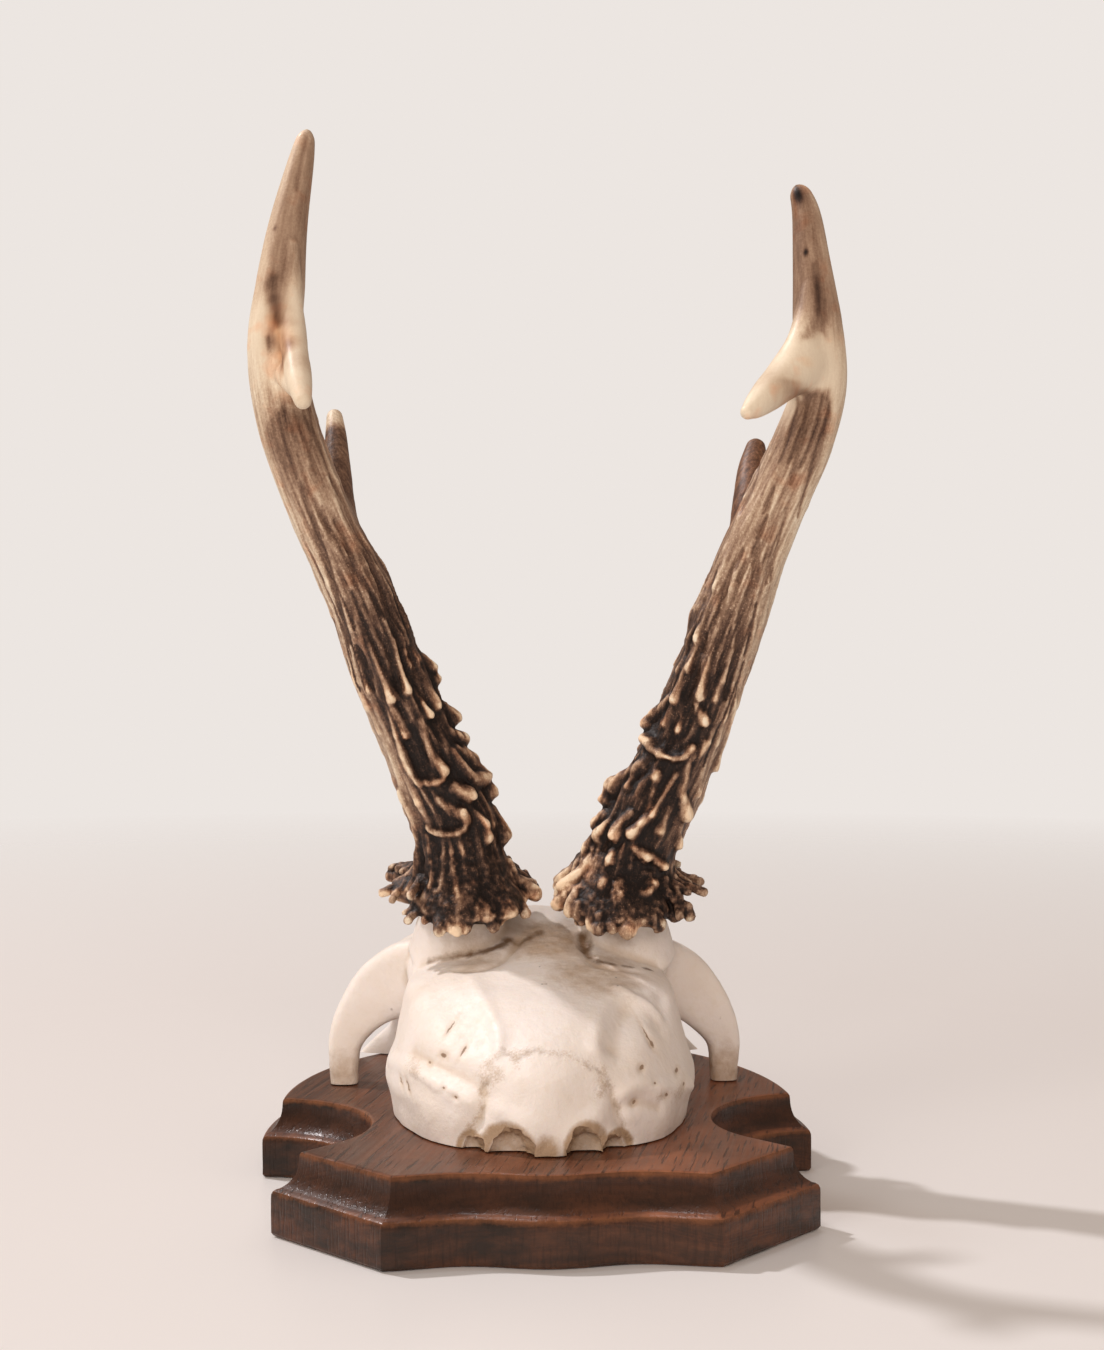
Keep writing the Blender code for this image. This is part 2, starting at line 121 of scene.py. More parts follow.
# Drips of the hidden sides: count, lowest and highest head, length, half width, height, tone, clearance
DRIP_KINDS = [
    (85, 13, 58, (4, 12), (0.85, 1.5), (0.5, 1.2), (0.35, 1), 2.7),
    (60, 42, 112, (12, 30), (0.5, 0.9), (0.2, 0.5), (0, 0.25), 2.1),
]
BARE_LEVELS = (4.4, 3.2, 2.0)  # highest top, middle and tip of a finger on the bare stretch
GROOVE_COUNT = 90
GROOVE_WIDTH = 0.8
GROOVE_RISES = (34, 96)
GROOVE_LENGTHS = (9, 30)
PEARL_FROM_HEIGHT = 1.25
# Stretches above the burr's plane over which a feature starts or ends
RIDGES_START = (5, 14)
BURR_END = (11, 17)
PALE_SIDE_STARTS = (12, 30)
SMOOTH_SIDE_STARTS = (22, 45)
ROUGHNESS_ENDS = (66, 122)
STRIAE_START = (50, 90)
STRIAE_END = (125, 150)
SMALL_GROOVES_FADE = (68, 108)
GROOVES_SOFTEN = (86, 116)
LOWER_PART_END = (70, 110)
TOP_START = (118, 140)
# Height of the fine grain, on the beam and added in the burr
BEAM_GRAIN = 0.06
BURR_GRAIN = 0.12
# How pale the forks, the web below the left tine and the pearls are, and where that web shows
FORK_TONE = 0.97
HEEL_TONE = 0.93
HEEL_WIDTH = (2.9, 5.5)
HEEL_START_Z = (165.5, 168.0)
PEARL_TONE = 0.97
# Basins: distance above the burr, degrees, half length, half width, depth
LEFT_BASINS = [(36, -6, 6, 2, 1.1), (46, 45, 7, 3, 0.9), (22, -8, 3, 3.2, 0.5), (58, 30, 8, 1.8, 0.5)]
RIGHT_BASINS = [
    (40.5, -35, 4.2, 3.6, 1), (40.5, 3, 3, 1.3, 0.8), (29, -12, 5.5, 2.6, 0.8), (10, 2, 4, 3, 0.7),
]
# Tan patches of the burrs: distance above the plane, degrees, size, tone
LEFT_PATCHES = [
    (9.1, 88, 2.2, 0.5), (4.6, 88, 2.2, 0.45), (2.6, 78, 1.8, 0.5), (2, 70, 1.4, 0.8),
    (1.5, -4, 1.6, 0.8), (1.6, 41, 1.4, 0.9), (8.2, -87, 2.4, 0.5), (2.5, -76, 1.8, 0.5),
    (6.5, 1, 1.6, 0.4),
]
RIGHT_PATCHES = [
    (5.8, -76, 4.2, 0.80), (9, -62, 3, 0.65), (4, -96, 3.4, 0.8), (2.2, -58, 2.6, 0.7),
    (1.6, -75, 1.6, 0.9), (1.2, -35, 1.4, 0.8), (2.2, -3, 2.2, 0.5), (1.6, 7, 1.5, 0.7),
    (9, 84, 2.4, 0.4), (3.4, 80, 1.8, 0.5),
]
# Grooves that show from behind: half width, then the places it runs through
LEFT_GROOVES = [
    (1.1, [(99, 55), (92, 61), (84, 57), (79, 52), (70, 47), (66, 47), (59, 42)]),
    (0.8, [(90, 25), (85, 26), (78, 13)]), (0.7, [(73, 26), (70, 27), (67, 29)]),
    (1.1, [(100, -6), (87, -17), (74, -36), (64, -44)]), (1.6, [(63, -32), (59, -29), (53, -30)]),
    (1, [(65, 12), (60, 17), (51, 14)]), (1.2, [(59, 57), (54, 50), (48, 47)]),
    (1, [(116, 9), (113, -2), (107, -7), (101, -10)]), (0.55, [(114, 60), (108, 52), (101, 57)]),
    (0.5, [(96, 96), (92, 96)]), (0.7, [(129, -10), (124, -4)]), (0.5, [(174, 8), (167, 8), (161, 14)]),
    (0.5, [(94, 14), (88, 9)]), (0.6, [(75, -3), (68, -7), (64, -5)]), (0.5, [(59, 17), (55, 19)]),
]
RIGHT_GROOVES = [
    (1.3, [(86, -10), (80, 3), (73, 10), (63, 18), (52, 29)]), (0.7, [(82, -19), (77, -18)]),
    (0.9, [(76, -35), (72, -36)]), (0.7, [(71, -17), (66, -16), (59, -13)]),
    (1.4, [(64, -41), (57, -36), (49, -28), (44, -23)]), (0.9, [(60, -61), (57, -67)]),
    (0.9, [(92, -15), (88, -15), (83, -13)]), (0.7, [(84, -31), (79, -30)]),
    (0.9, [(120, -33), (111, -17), (106, -12), (100, 0)]), (0.9, [(120, 10), (116, 21), (112, 22)]),
    (0.8, [(101, -101), (98, -77), (90, -70)]), (0.8, [(98, -26), (92, -24)]),
    (0.5, [(74, 23), (67, 30), (62, 34)]), (0.4, [(61, 38), (54, 44), (49, 47)]),
    (0.5, [(61, -15), (55, -6), (50, -1)]), (0.5, [(73, -60), (67, -59), (64, -60)]),
    (0.5, [(108, 20), (101, 31), (94, 43)]), (0.5, [(97, 11), (87, 25), (79, 36)]),
    (0.9, [(140, -2), (134, -13), (131, -26)]), (0.6, [(138, 8), (132, -2)]), (1, [(45, -42), (44, -23)]),
    (0.5, [(118, -48), (111, -44), (103, -38)]), (0.6, [(119, -25), (112, -24), (104, -22)]),
    (0.6, [(119, 0), (112, 2), (104, 2)]), (0.4, [(117, 18), (110, 17), (104, 20)]),
]
# Painted shade under each fork: its top, middle and half width in degrees, length and strength
LEFT_FORK_SHADE = (115.5, 2, 55, 26, 0.15)
RIGHT_FORK_SHADE = (120.6, -8, 42, 26, 0.12)
# Brown and rusty lines of dirt: half width, strength, then the places they run through
LEFT_STAINS = [
    (2.1, 0.50, [(140, -9), (135, -2), (128.5, 7)]), (1.1, 0.55, [(131, 8), (126.5, 16), (121, 20)]),
]
LEFT_RUST = [(1.3, 0.6, [(133, 2), (128, 14), (120, 20)])]
RIGHT_STAINS = [(0.9, 0.24, [(146, -6), (140, -4), (133, -8)]), (0.7, 0.16, [(138, 12), (131, 8)])]
RIGHT_RUST = [(1.2, 0.6, [(164, -52), (158, -60)]), (0.7, 0.4, [(126, -30), (125, -28)])]
# Dark spots near the tips, given like the patches
LEFT_SPOTS = [(152, -30, 0.6, 0.25)]
RIGHT_SPOTS = [(163, -31, 2.2, 0.6), (149, -26, 0.7, 0.5)]
# Ridges and pearls that show from behind. Each has its width and its height off the beam at
# both ends (start radius, end radius, start height, end height), then the places it runs
# through: distance above the burr and angle in degrees from the back towards +X.
LEFT_STROKES = [
    ((0.45, 0.75, 0.5, 0.9), [(50, -13), (42, -23), (36, -27), (32, -22), (30.5, -7), (30, 12),
     (31.5, 22)]),
    ((0.6, 1, 0.3, 1.1), [(43, 20), (40, 18), (35, 17), (31.5, 22)]),
    ((0.5, 1.1, 0.7, 1.5), [(21, -34), (20, -30), (18.6, -12), (18, 7), (19.5, 21), (21.5, 21)]),
    ((1, 1.4, 0.8, 1.6), [(27, 27), (24.4, 40)]),
    ((0.8, 1.4, 0.5, 1.7), [(34, 52), (30, 52), (26.7, 65), (25, 84)]),
    ((0.7, 1.2, 0.5, 2), [(34, 62), (31, 79), (27, 94), (25.5, 95)]),
    ((0.8, 1.1, 0.4, 1.4), [(33, 75), (29.5, 97)]), ((1, 1.2, 1, 2.3), [(24, 95), (21.7, 94)]),
    ((0.9, 1.3, 0.8, 2.2), [(18.4, 92), (16.3, 92), (13.9, 90)]),
    ((0.5, 1, 0.2, 1), [(49.7, 35), (46.5, 37), (43.8, 38)]),
    ((0.8, 1.3, 0.5, 2.2), [(43, 91), (41.4, 94), (39.8, 94)]),
    ((0.7, 1.3, 0.4, 1.6), [(38, 69), (34.4, 95)]), ((0.7, 1.1, 0.4, 1.5), [(55, 95), (52, 95)]),
    ((0.7, 1, 0.4, 1.3), [(51, 94), (49, 94)]), ((0.5, 0.9, 0.2, 0.8), [(50, 59), (44.5, 61)]),
    ((0.4, 0.9, 0.2, 0.8), [(61.8, 33), (56, 26), (50.7, 22)]),
    ((0.4, 1, 0.2, 0.9), [(62.5, -5), (59, -5), (54.5, -6), (50.4, -5)]),
    ((0.5, 0.4, 0.3, 0.1), [(18, -10), (14, -8), (10, -7), (7, -4)]),
    ((0.5, 0.4, 0.3, 0.1), [(16.7, 4), (13.5, 7)]),
    ((0.5, 0.5, 0.3, 0.3), [(18.8, -41), (13.3, -40), (7.8, -37)]),
    ((0.8, 0.7, 0.4, 2.4), [(30, -66), (23, -60), (14, -69), (6.7, -66), (2.4, -80)]),
    ((0.5, 0.8, 0.3, 0.9), [(20, 43), (17.7, 49)]), ((0.6, 0.8, 0.5, 0.9), [(16, 46), (15, 47)]),
    ((0.8, 1, 0.2, 0.4), [(26, -1), (22, 12)]),
    ((0.5, 0.7, 0.2, 0.6), [(48.8, -10), (44.8, -10), (41.5, -10)]),
    ((0.7, 1, 0.5, 1), [(5, 19), (4, 20)]), ((0.8, 1.1, 0.5, 1), [(4.8, 42), (3.6, 40)]),
    ((0.6, 0.9, 0.5, 1), [(2.2, -1), (1, -2)]),
]
RIGHT_STROKES = [
    ((0.7, 1.2, 0.5, 2.1), [(47.7, -65), (44, -84), (41.5, -97), (39.8, -97)]),
    ((0.8, 1.2, 0.6, 1.6), [(37, -97), (36.7, -66)]),
    ((1.1, 0.5, 1.5, 0.9), [(36.4, -63), (35.8, -50), (35.6, -36), (35.8, -22)]),
    ((0.5, 0.75, 0.9, 0.8), [(35.8, -26), (36.2, -12), (37.4, -2), (39.6, 4)]),
    ((0.7, 0.6, 0.6, 0.3), [(38, 13), (40, 21), (41.8, 24)]), ((0.5, 1, 0.2, 0.9), [(49, -14), (46, 7)]),
    ((0.4, 1, 0.2, 0.8), [(62, -23), (56, -18), (51, -12)]),
    ((0.5, 0.8, 0.2, 0.6), [(61, -46), (55.6, -45)]),
    ((1, 1.7, 0.5, 2), [(31, -61), (27, -84), (23.5, -95)]),
    ((1, 1.2, 1.3, 2.4), [(24.4, -97), (22, -97), (20, -97)]),
    ((0.9, 0.7, 0.8, 0.6), [(18.7, -97), (17.4, -92)]),
    ((0.5, 1.2, 0.3, 1.1), [(37, 9), (33.7, 13), (30.4, 16), (28.5, 28), (25.7, 44)]),
    ((0.4, 0.5, 0.3, 0.6), [(33, -2), (28, -5), (23, -8)]),
    ((0.5, 1.1, 0.6, 1.6), [(23, -8), (20.5, -14), (17.5, -20)]),
    ((0.7, 1.3, 0.6, 1.6), [(21, -36), (18.5, -40), (15.7, -41)]),
    ((0.6, 0.8, 0.4, 0.8), [(31.4, -28), (30.4, -27)]),
    ((0.4, 0.7, 0.2, 0.6), [(29, -25), (24.6, -16), (20.3, -17)]),
    ((0.5, 1, 0.4, 1.1), [(16, -14), (15, -10), (14.3, 9)]),
    ((0.6, 1, 0.6, 1.2), [(14.7, 16), (13.3, 38)]), ((0.6, 0.9, 0.5, 1), [(19.8, 55), (18.9, 56)]),
    ((0.5, 0.8, 0.4, 0.8), [(12.4, -33), (11.5, -33)]),
    ((0.4, 0.9, 0.2, 0.9), [(54, 42), (44, 74), (37, 79)]),
    ((0.4, 0.9, 0.2, 0.7), [(62, -50), (57, -56), (52, -51), (48, -49)]),
    ((0.4, 0.8, 0.2, 0.6), [(78, -61), (74, -53)]), ((0.4, 0.8, 0.2, 0.6), [(65, -57), (62, -51)]),
    ((0.9, 1.1, 0.6, 1.3), [(16, -60), (14, -66)]), ((0.9, 1, 0.6, 1.2), [(13.5, -78), (11, -84)]),
    ((0.8, 1.1, 0.6, 1.4), [(17, -86), (15, -92)]), ((0.8, 0.9, 0.4, 0.6), [(8.2, -15.5), (7.4, -14)]),
    ((0.5, 0.8, 0.4, 0.9), [(7.6, 10), (7.9, 17), (9.2, 25)]),
    ((0.4, 0.6, 0.3, 0.7), [(9, -33), (8.3, -32)]),
]
# Each antler: its pieces and tables, and which side is its outer one. For each tine the reach of
# the web in its fork, and how far its tip's tone goes and fades. Then the burr's bare stretch, how
# much darker the top is, and between which heights the beam pales.
LEFT_LOOK = SimpleNamespace(
    name="left_antler", slot="left_horn", nodes=("left_beam", "left_rear_tine", "left_front_tine"),
    beam=LEFT_BEAM, outer=-1, seed=100,
    rear_tine=SimpleNamespace(rows=LEFT_REAR_TINE, web_reach=13.5, web_steps=36,
                              cream=2.5, fade=11.0, tip_tone=0.92, body=None),
    front_tine=SimpleNamespace(rows=LEFT_FRONT_TINE, web_reach=10.0, web_steps=24,
                               cream=3.2, fade=3.0, tip_tone=0.90, body=0.26, rust=0.1),
    keels=[LEFT_KEEL, LEFT_HEEL], strokes=LEFT_STROKES, grooves=LEFT_GROOVES, basins=LEFT_BASINS,
    patches=LEFT_PATCHES, spots=LEFT_SPOTS, stains=LEFT_STAINS, rust=LEFT_RUST, fork_shade=LEFT_FORK_SHADE,
    bare=(-50, 78, 2.2), top=0.09, paling=(48, 104))
RIGHT_LOOK = SimpleNamespace(
    name="right_antler", slot="right_horn", nodes=("right_beam", "right_rear_tine", "right_front_tine"),
    beam=RIGHT_BEAM, outer=1, seed=200,
    rear_tine=SimpleNamespace(rows=RIGHT_REAR_TINE, web_reach=13.5, web_steps=60,
                              cream=3.0, fade=16.0, tip_tone=0.95, body=None),
    front_tine=SimpleNamespace(rows=RIGHT_FRONT_TINE, web_reach=10.0, web_steps=24,
                               cream=1.0, fade=4.0, tip_tone=0.42, body=0.26, rust=0.6),
    keels=[RIGHT_KEEL], strokes=RIGHT_STROKES, grooves=RIGHT_GROOVES, basins=RIGHT_BASINS,
    patches=RIGHT_PATCHES, spots=RIGHT_SPOTS, stains=RIGHT_STAINS, rust=RIGHT_RUST, fork_shade=RIGHT_FORK_SHADE,
    bare=(-46, 40, 3.2), top=0.20, paling=(42, 90))


def spline(rows, t):
    """A smooth curve through rows, read at each t, where a whole number is a row."""
    rows = np.asarray(rows, float)
    padded = np.vstack([2 * rows[0] - rows[1], rows, 2 * rows[-1] - rows[-2]])
    t = np.clip(np.asarray(t, float), 0, len(rows) - 1)
    i = np.minimum(t.astype(int), len(rows) - 2)
    u = (t - i)[:, None]
    a, b, c, d = (padded[i + k] for k in range(4))
    return 0.5 * (2 * b + (c - a) * u + (2 * a - 5 * b + 4 * c - d) * u**2
                  + (3 * b - a - 3 * c + d) * u**3)


def dense(rows, count):
    """The smooth line through rows, as so many points."""
    return spline(rows, np.linspace(0, len(rows) - 1, count))


def gone_along(path):
    """How far along a path each of its points is."""
    return np.concatenate([[0], np.cumsum(np.linalg.norm(np.diff(path, axis=0), axis=1))])


def full_turn(count):
    """Angles of so many points round a circle."""
    return np.linspace(0, 2 * math.pi, count, endpoint=False)


def unit(vectors):
    """Vectors of length one."""
    return vectors / np.maximum(np.linalg.norm(vectors, axis=-1, keepdims=True), 1e-9)


def smoothstep(low, high, value):
    """Zero below the first value and one above the second, with a smooth rise."""
    t = np.clip((value - low) / (high - low), 0, 1)
    return t * t * (3 - 2 * t)


def from_line(points, line):
    """Distance of points from a line of straight runs."""
    line = np.asarray(line, float)
    best = np.full(len(points), 1e9)
    for a, b in zip(line, line[1:]):
        run = b - a
        share = np.clip((points - a) @ run / (run @ run), 0, 1)
        best = np.minimum(best, np.linalg.norm(points - a - share[:, None] * run, axis=1))
    return best


def ring_noise(seed, around, along, theta, s):
    """Smooth noise of about -1 to 1 on a tube: cells around it, and a length for each cell along it."""
    turns = np.random.RandomState(seed).uniform(0, 2 * math.pi, (97, around))
    x = np.mod(theta / (2 * math.pi), 1.0) * around
    y = s / along + 40
    column, row = np.floor(x).astype(int), np.floor(y).astype(int)
    fx, fy = x - column, y - row
    u, v = fx**3 * (fx * (6 * fx - 15) + 10), fy**3 * (fy * (6 * fy - 15) + 10)

    def corner(dx, dy):
        angle = turns[(row + dy) % 97, (column + dx) % around]
        return np.cos(angle) * (fx - dx) + np.sin(angle) * (fy - dy)

    low = corner(0, 0) * (1 - u) + corner(1, 0) * u
    high = corner(0, 1) * (1 - u) + corner(1, 1) * u
    return 1.6 * (low * (1 - v) + high * v)


def space_noise(points, cell, seed):
    """Smooth noise of about -1 to 1 in space."""
    size = 32
    values = np.random.RandomState(seed).uniform(-1, 1, (size, size, size))
    place = points / cell + 100.0
    base = np.floor(place).astype(int)
    f = place - base
    f = f * f * (3 - 2 * f)
    total = np.zeros(len(points))
    for corner in np.ndindex(2, 2, 2):
        share = np.where(corner, f, 1 - f).prod(axis=1)
        total += share * values[tuple(((base + corner) % size).T)]
    return total


# ---- meshes ----

class Clay:
    """Closed shells gathered in one mesh before they are fused."""

    def __init__(self):
        self.points = []
        self.faces = []
        self.count = 0

    def add_rings(self, rings):
        """A closed tube through rings of equal size, each with its points in order."""
        rings = np.asarray(rings, float)
        many, sides, _ = rings.shape
        ends = rings[[0, -1]].mean(axis=1)
        row = self.count + np.arange(many - 1)[:, None] * sides
        a = row + np.arange(sides)
        b = row + (np.arange(sides) + 1) % sides
        self.faces += np.stack([a, b, b + sides, a + sides], axis=-1).reshape(-1, 4).tolist()
        first = self.count + many * sides
        top = self.count + (many - 1) * sides
        for j in range(sides):
            k = (j + 1) % sides
            self.faces.append([first, self.count + k, self.count + j])
            self.faces.append([first + 1, top + j, top + k])
        self.points += [rings.reshape(-1, 3), ends]
        self.count += many * sides + 2

    def add_tube(self, path, radii, up, sides=10):
        """A round tube with rounded ends. Up is any direction that the path never takes."""
        tangent = unit(np.gradient(path, axis=0))
        side = unit(np.cross(tangent, up))
        over = np.cross(side, tangent)
        turn = full_turn(sides)
        circle = np.cos(turn)[None, :, None] * side[:, None] + np.sin(turn)[None, :, None] * over[:, None]
        body = path[:, None] + circle * radii[:, None, None]
        caps = []
        for end, sign in ((0, -1), (-1, 1)):
            rings = [path[end] + tangent[end] * sign * radii[end] * math.sin(a)
                     + circle[end] * radii[end] * math.cos(a) for a in (0.5, 0.95, 1.35)]
            caps.append(rings)
        rings = np.concatenate([caps[0][::-1], body, caps[1]])
        self.add_rings(rings[:, ::-1])

    def object(self, name):
        """The shells as they are, as one object."""
        data = bpy.data.meshes.new(name)
        data.from_pydata((np.concatenate(self.points) * MM).tolist(), [], self.faces)
        return linked(name, data)

    def fused(self, name, voxel):
        """One skin round all the shells, as an object."""
        obj = self.object(name)
        remesh = obj.modifiers.new("one skin", "REMESH")
        remesh.mode = "VOXEL"
        remesh.voxel_size = voxel * MM
        apply_modifiers(obj)
        return obj


def linked(name, data):
    """A new object in the scene."""
    obj = bpy.data.objects.new(name, data)
    bpy.context.scene.collection.objects.link(obj)
    return obj


def apply_modifiers(obj):
    """Give an object the mesh that its modifiers make."""
    graph = bpy.context.evaluated_depsgraph_get()
    made = bpy.data.meshes.new_from_object(obj.evaluated_get(graph))
    old = obj.data
    obj.modifiers.clear()
    obj.data = made
    made.name = obj.name
    bpy.data.meshes.remove(old)


def read_all(items, key, kind=np.float32, width=3):
    """One property of all items of a mesh, as rows."""
    flat = np.empty(len(items) * width, kind)
    items.foreach_get(key, flat)
    return flat.reshape(-1, width)


class Skin:
    """The points of a mesh in millimetres, with ways to soften and to read them."""

    def __init__(self, obj):
        self.mesh = obj.data
        self.points = read_all(self.mesh.vertices, "co").astype(float) / MM
        ends = read_all(self.mesh.edges, "vertices", np.int32, 2)
        self.a = np.concatenate([ends[:, 0], ends[:, 1]])
        self.b = np.concatenate([ends[:, 1], ends[:, 0]])
        self.degree = np.maximum(np.bincount(self.a, minlength=len(self.points)), 1)

    def mean_of_neighbours(self, values):
        """Each point's mean over its neighbours, for one value or a vector."""
        if values.ndim == 1:
            return np.bincount(self.a, values[self.b], len(values)) / self.degree
        return np.stack([self.mean_of_neighbours(values[:, k]) for k in range(values.shape[1])], axis=1)

    def diffused(self, values, steps, share=0.6):
        """Values moved towards those of their neighbours, some steps in turn."""
        for _ in range(steps):
            values = values + share * (self.mean_of_neighbours(values) - values)
        return values

    def soften(self, steps):
        """Smoothing that keeps the volume: after each step in, a step back out."""
        for _ in range(steps):
            self.points = self.diffused(self.points, 1, SOFTEN_IN)
            self.points = self.diffused(self.points, 1, -SOFTEN_OUT)

    def write(self):
        """Move the points of the mesh."""
        self.mesh.vertices.foreach_set("co", (self.points * MM).astype(np.float32).ravel())
        self.mesh.update()

    def normals(self):
        self.write()
        return read_all(self.mesh.vertex_normals, "vector").astype(float)

    def relief(self, steps, normals):
        """Height of each point above the skin softened by so many steps."""
        low = self.diffused(self.points, steps)
        return np.einsum("ij,ij->i", self.points - low, normals)

    def store(self, **layers):
        """Keep values on the points, for the materials to read."""
        for name, values in layers.items():
            kind, key = ("FLOAT", "value") if values.ndim == 1 else ("FLOAT_VECTOR", "vector")
            layer = self.mesh.attributes.new(name, kind, "POINT")
            layer.data.foreach_set(key, np.asarray(values, np.float32).ravel())

    def finish(self):
        """Write the points and shade the mesh smooth."""
        self.write()
        self.mesh.polygons.foreach_set("use_smooth", np.ones(len(self.mesh.polygons), bool))
        self.mesh.update()


def tree_of(points):
    """A tree that finds the nearest of some points."""
    tree = kdtree.KDTree(len(points))
    for i, point in enumerate(points):
        tree.insert(point, i)
    tree.balance()
    return tree


# ---- beam ----

class Beam:
    """A beam's axis, radius and section axes, read by the distance above the burr's plane."""

    def __init__(self, rows):
        fine = dense(rows, 60 * len(rows))
        self.gone = gone_along(fine[:, :3])
        self.length = self.gone[-1]
        self.fine = fine
        self.tangents = unit(np.gradient(fine[:, :3], self.gone, axis=0))
        tilt = math.radians(BURR_TILT_DEG)
        self.up = np.array([0, -math.sin(tilt), math.cos(tilt)])

    def radius_at(self, s):
        """Radius of the plain beam at each distance."""
        return np.interp(np.clip(s, 0, self.length), self.gone, self.fine[:, 3])

    def read(self, s):
        """Centre, radius, axis, side and back at each distance."""
        s = np.asarray(s, float)
        held = np.clip(s, 0, self.length)
        centre = np.stack([np.interp(held, self.gone, self.fine[:, k]) for k in range(3)], axis=1)
        tangent = np.stack([np.interp(held, self.gone, self.tangents[:, k]) for k in range(3)], axis=1)
        blend = smoothstep(0, BURR_RISE, s)[:, None]
        axis = unit(self.up * (1 - blend) + tangent * blend)
        side = unit(np.array([1.0, 0, 0]) - axis * axis[:, :1])
        centre = centre + axis * (s - held)[:, None]
        return centre, self.radius_at(s), axis, side, np.cross(side, axis)

    def place(self, s, degrees, height):
        """Points on the beam, and the direction outwards at each."""
        centre, radius, _, side, back = self.read(s)
        angle = np.radians(degrees)[:, None]
        out = back * np.cos(angle) + side * np.sin(angle)
        return centre + out * (radius + height)[:, None], out

    def unroll(self, points):
        """Distance, angle and distance from the axis of each point."""
        stops = np.linspace(0, self.length, AXIS_STOPS)
        centre, _, axis, side, back = self.read(stops)
        tree = tree_of(centre)
        near = np.array([tree.find(p)[1] for p in points.tolist()])
        away = points - centre[near]
        s = stops[near] + np.einsum("ij,ij->i", away, axis[near])
        across = np.einsum("ij,ij->i", away, side[near])
        behind = np.einsum("ij,ij->i", away, back[near])
        return s, np.arctan2(across, behind), np.hypot(across, behind)


def tip_share(s, length):
    """Share of the radius that is left towards the round tip."""
    into = np.clip((s - length + TIP_ROUNDING) / TIP_ROUNDING, 0, 1)
    return np.sqrt(np.maximum(0.04, 1 - into * into))


# ---- ridges like drips of wax ----

def turn_from(angle, middle):
    """The shortest turn from one angle to another, in radians."""
    return np.mod(angle - middle + math.pi, 2 * math.pi) - math.pi


def beside(places, reach, s, angle, radius):
    """Points of a beam near a path on it: which they are, how far off, how far along and what is left."""
    path = np.array(places, float)
    path[:, 1] = np.radians(path[:, 1])
    middle = (path[:, 1].min() + path[:, 1].max()) / 2
    half = np.ptp(path[:, 1]) / 2
    turn = turn_from(angle, middle)
    near = np.flatnonzero((s > path[:, 0].min() - reach) & (s < path[:, 0].max() + reach)
                          & (np.abs(turn) < half + reach / 3.5))
    if not len(near):
        return near, None, None, None
    scale = np.median(radius[near])
    flat = np.stack([s[near], turn[near] * scale], axis=1)
    path[:, 1] = (path[:, 1] - middle) * scale
    if len(path) > 2:
        path = dense(path, 6 * len(path))
    gone = gone_along(path)
    far = np.full(len(near), 1e9)
    along = np.zeros(len(near))
    for k, (a, b) in enumerate(zip(path, path[1:])):
        run = b - a
        share = np.clip((flat - a) @ run / (run @ run), 0, 1)
        d = np.linalg.norm(flat - a - share[:, None] * run, axis=1)
        closer = d < far
        far[closer] = d[closer]
        along[closer] = gone[k] + share[closer] * (gone[k + 1] - gone[k])
    return near, far, along, gone[-1] - along


def raised(drips, s, angle, radius):
    """Height that drips add to each place on a beam, and how pale they make it."""
    height = np.zeros(len(s))
    pale = np.zeros(len(s))
    for (w0, w1, h0, h1), places, tone in drips:
        near, far, along, left = beside(places, max(w0, w1), s, angle, radius)
        if not len(near):
            continue
        share = along / (along + left)
        bulb = np.exp(-(left / (1.5 * w1)) ** 2)
        width = w0 + (w1 - w0) * (0.45 * share + 0.55 * bulb)
        lift = (h0 + (h1 - h0) * (0.5 * share + 0.5 * bulb)) * np.maximum(1 - (far / width) ** 2, 0) ** 0.85
        before = height[near]
        height[near] = np.maximum(before, lift) + 0.3 * np.minimum(before, lift)
        light = tone * (0.16 + 0.22 * share + 0.62 * bulb) * np.exp(-(far / (0.5 * width)) ** 2)
        pale[near] = np.maximum(pale[near], light)
    return height, pale


def carved(grooves, s, angle, radius, wobble):
    """Depth and darkness of the long grooves."""
    depth = np.zeros(len(s))
    dark = np.zeros(len(s))
    for width, places in grooves:
        width = GROOVE_WIDTH * width
        near, far, along, left = beside(places, width * 2.4, s, angle, radius)
        if not len(near):
            continue
        taper = np.clip(np.minimum(along, left) / (2.5 * width) + 0.25, 0, 1) ** 0.5
        share = far / (width * taper) + 0.28 * wobble[near]
        high = smoothstep(*GROOVES_SOFTEN, s[near])
        hard = 1 - smoothstep(0.65, 1.2, share)
        soft = 0.85 * np.exp(-(far / (1.2 * width)) ** 2)
        deep = (0.25 + 0.32 * width) * (1 - 0.6 * high) * (1 - smoothstep(0.35, 1.2, share))
        depth[near] = np.maximum(depth[near], deep)
        dark[near] = np.maximum(dark[near], hard * (1 - high) + soft * high)
    return depth, dark


def sunk(basins, s, angle, radius):
    """Depth of the shallow basins between the drips."""
    depth = np.zeros(len(s))
    for rise, degrees, long, wide, deep in basins:
        turn = turn_from(angle, math.radians(degrees)) * radius
        far = ((s - rise) / long) ** 2 + (turn / wide) ** 2
        depth = np.maximum(depth, deep * np.exp(-far ** 1.5))
    return depth


def measured(strokes):
    """Half width, height and paleness of the drips that were measured from behind."""
    return [((1.3 * r0 + 0.25, 1.3 * r1 + 0.3, h0 + 0.5 * r0, h1 + 0.5 * r1), places, 1.0)
            for (r0, r1, h0, h1), places in strokes]


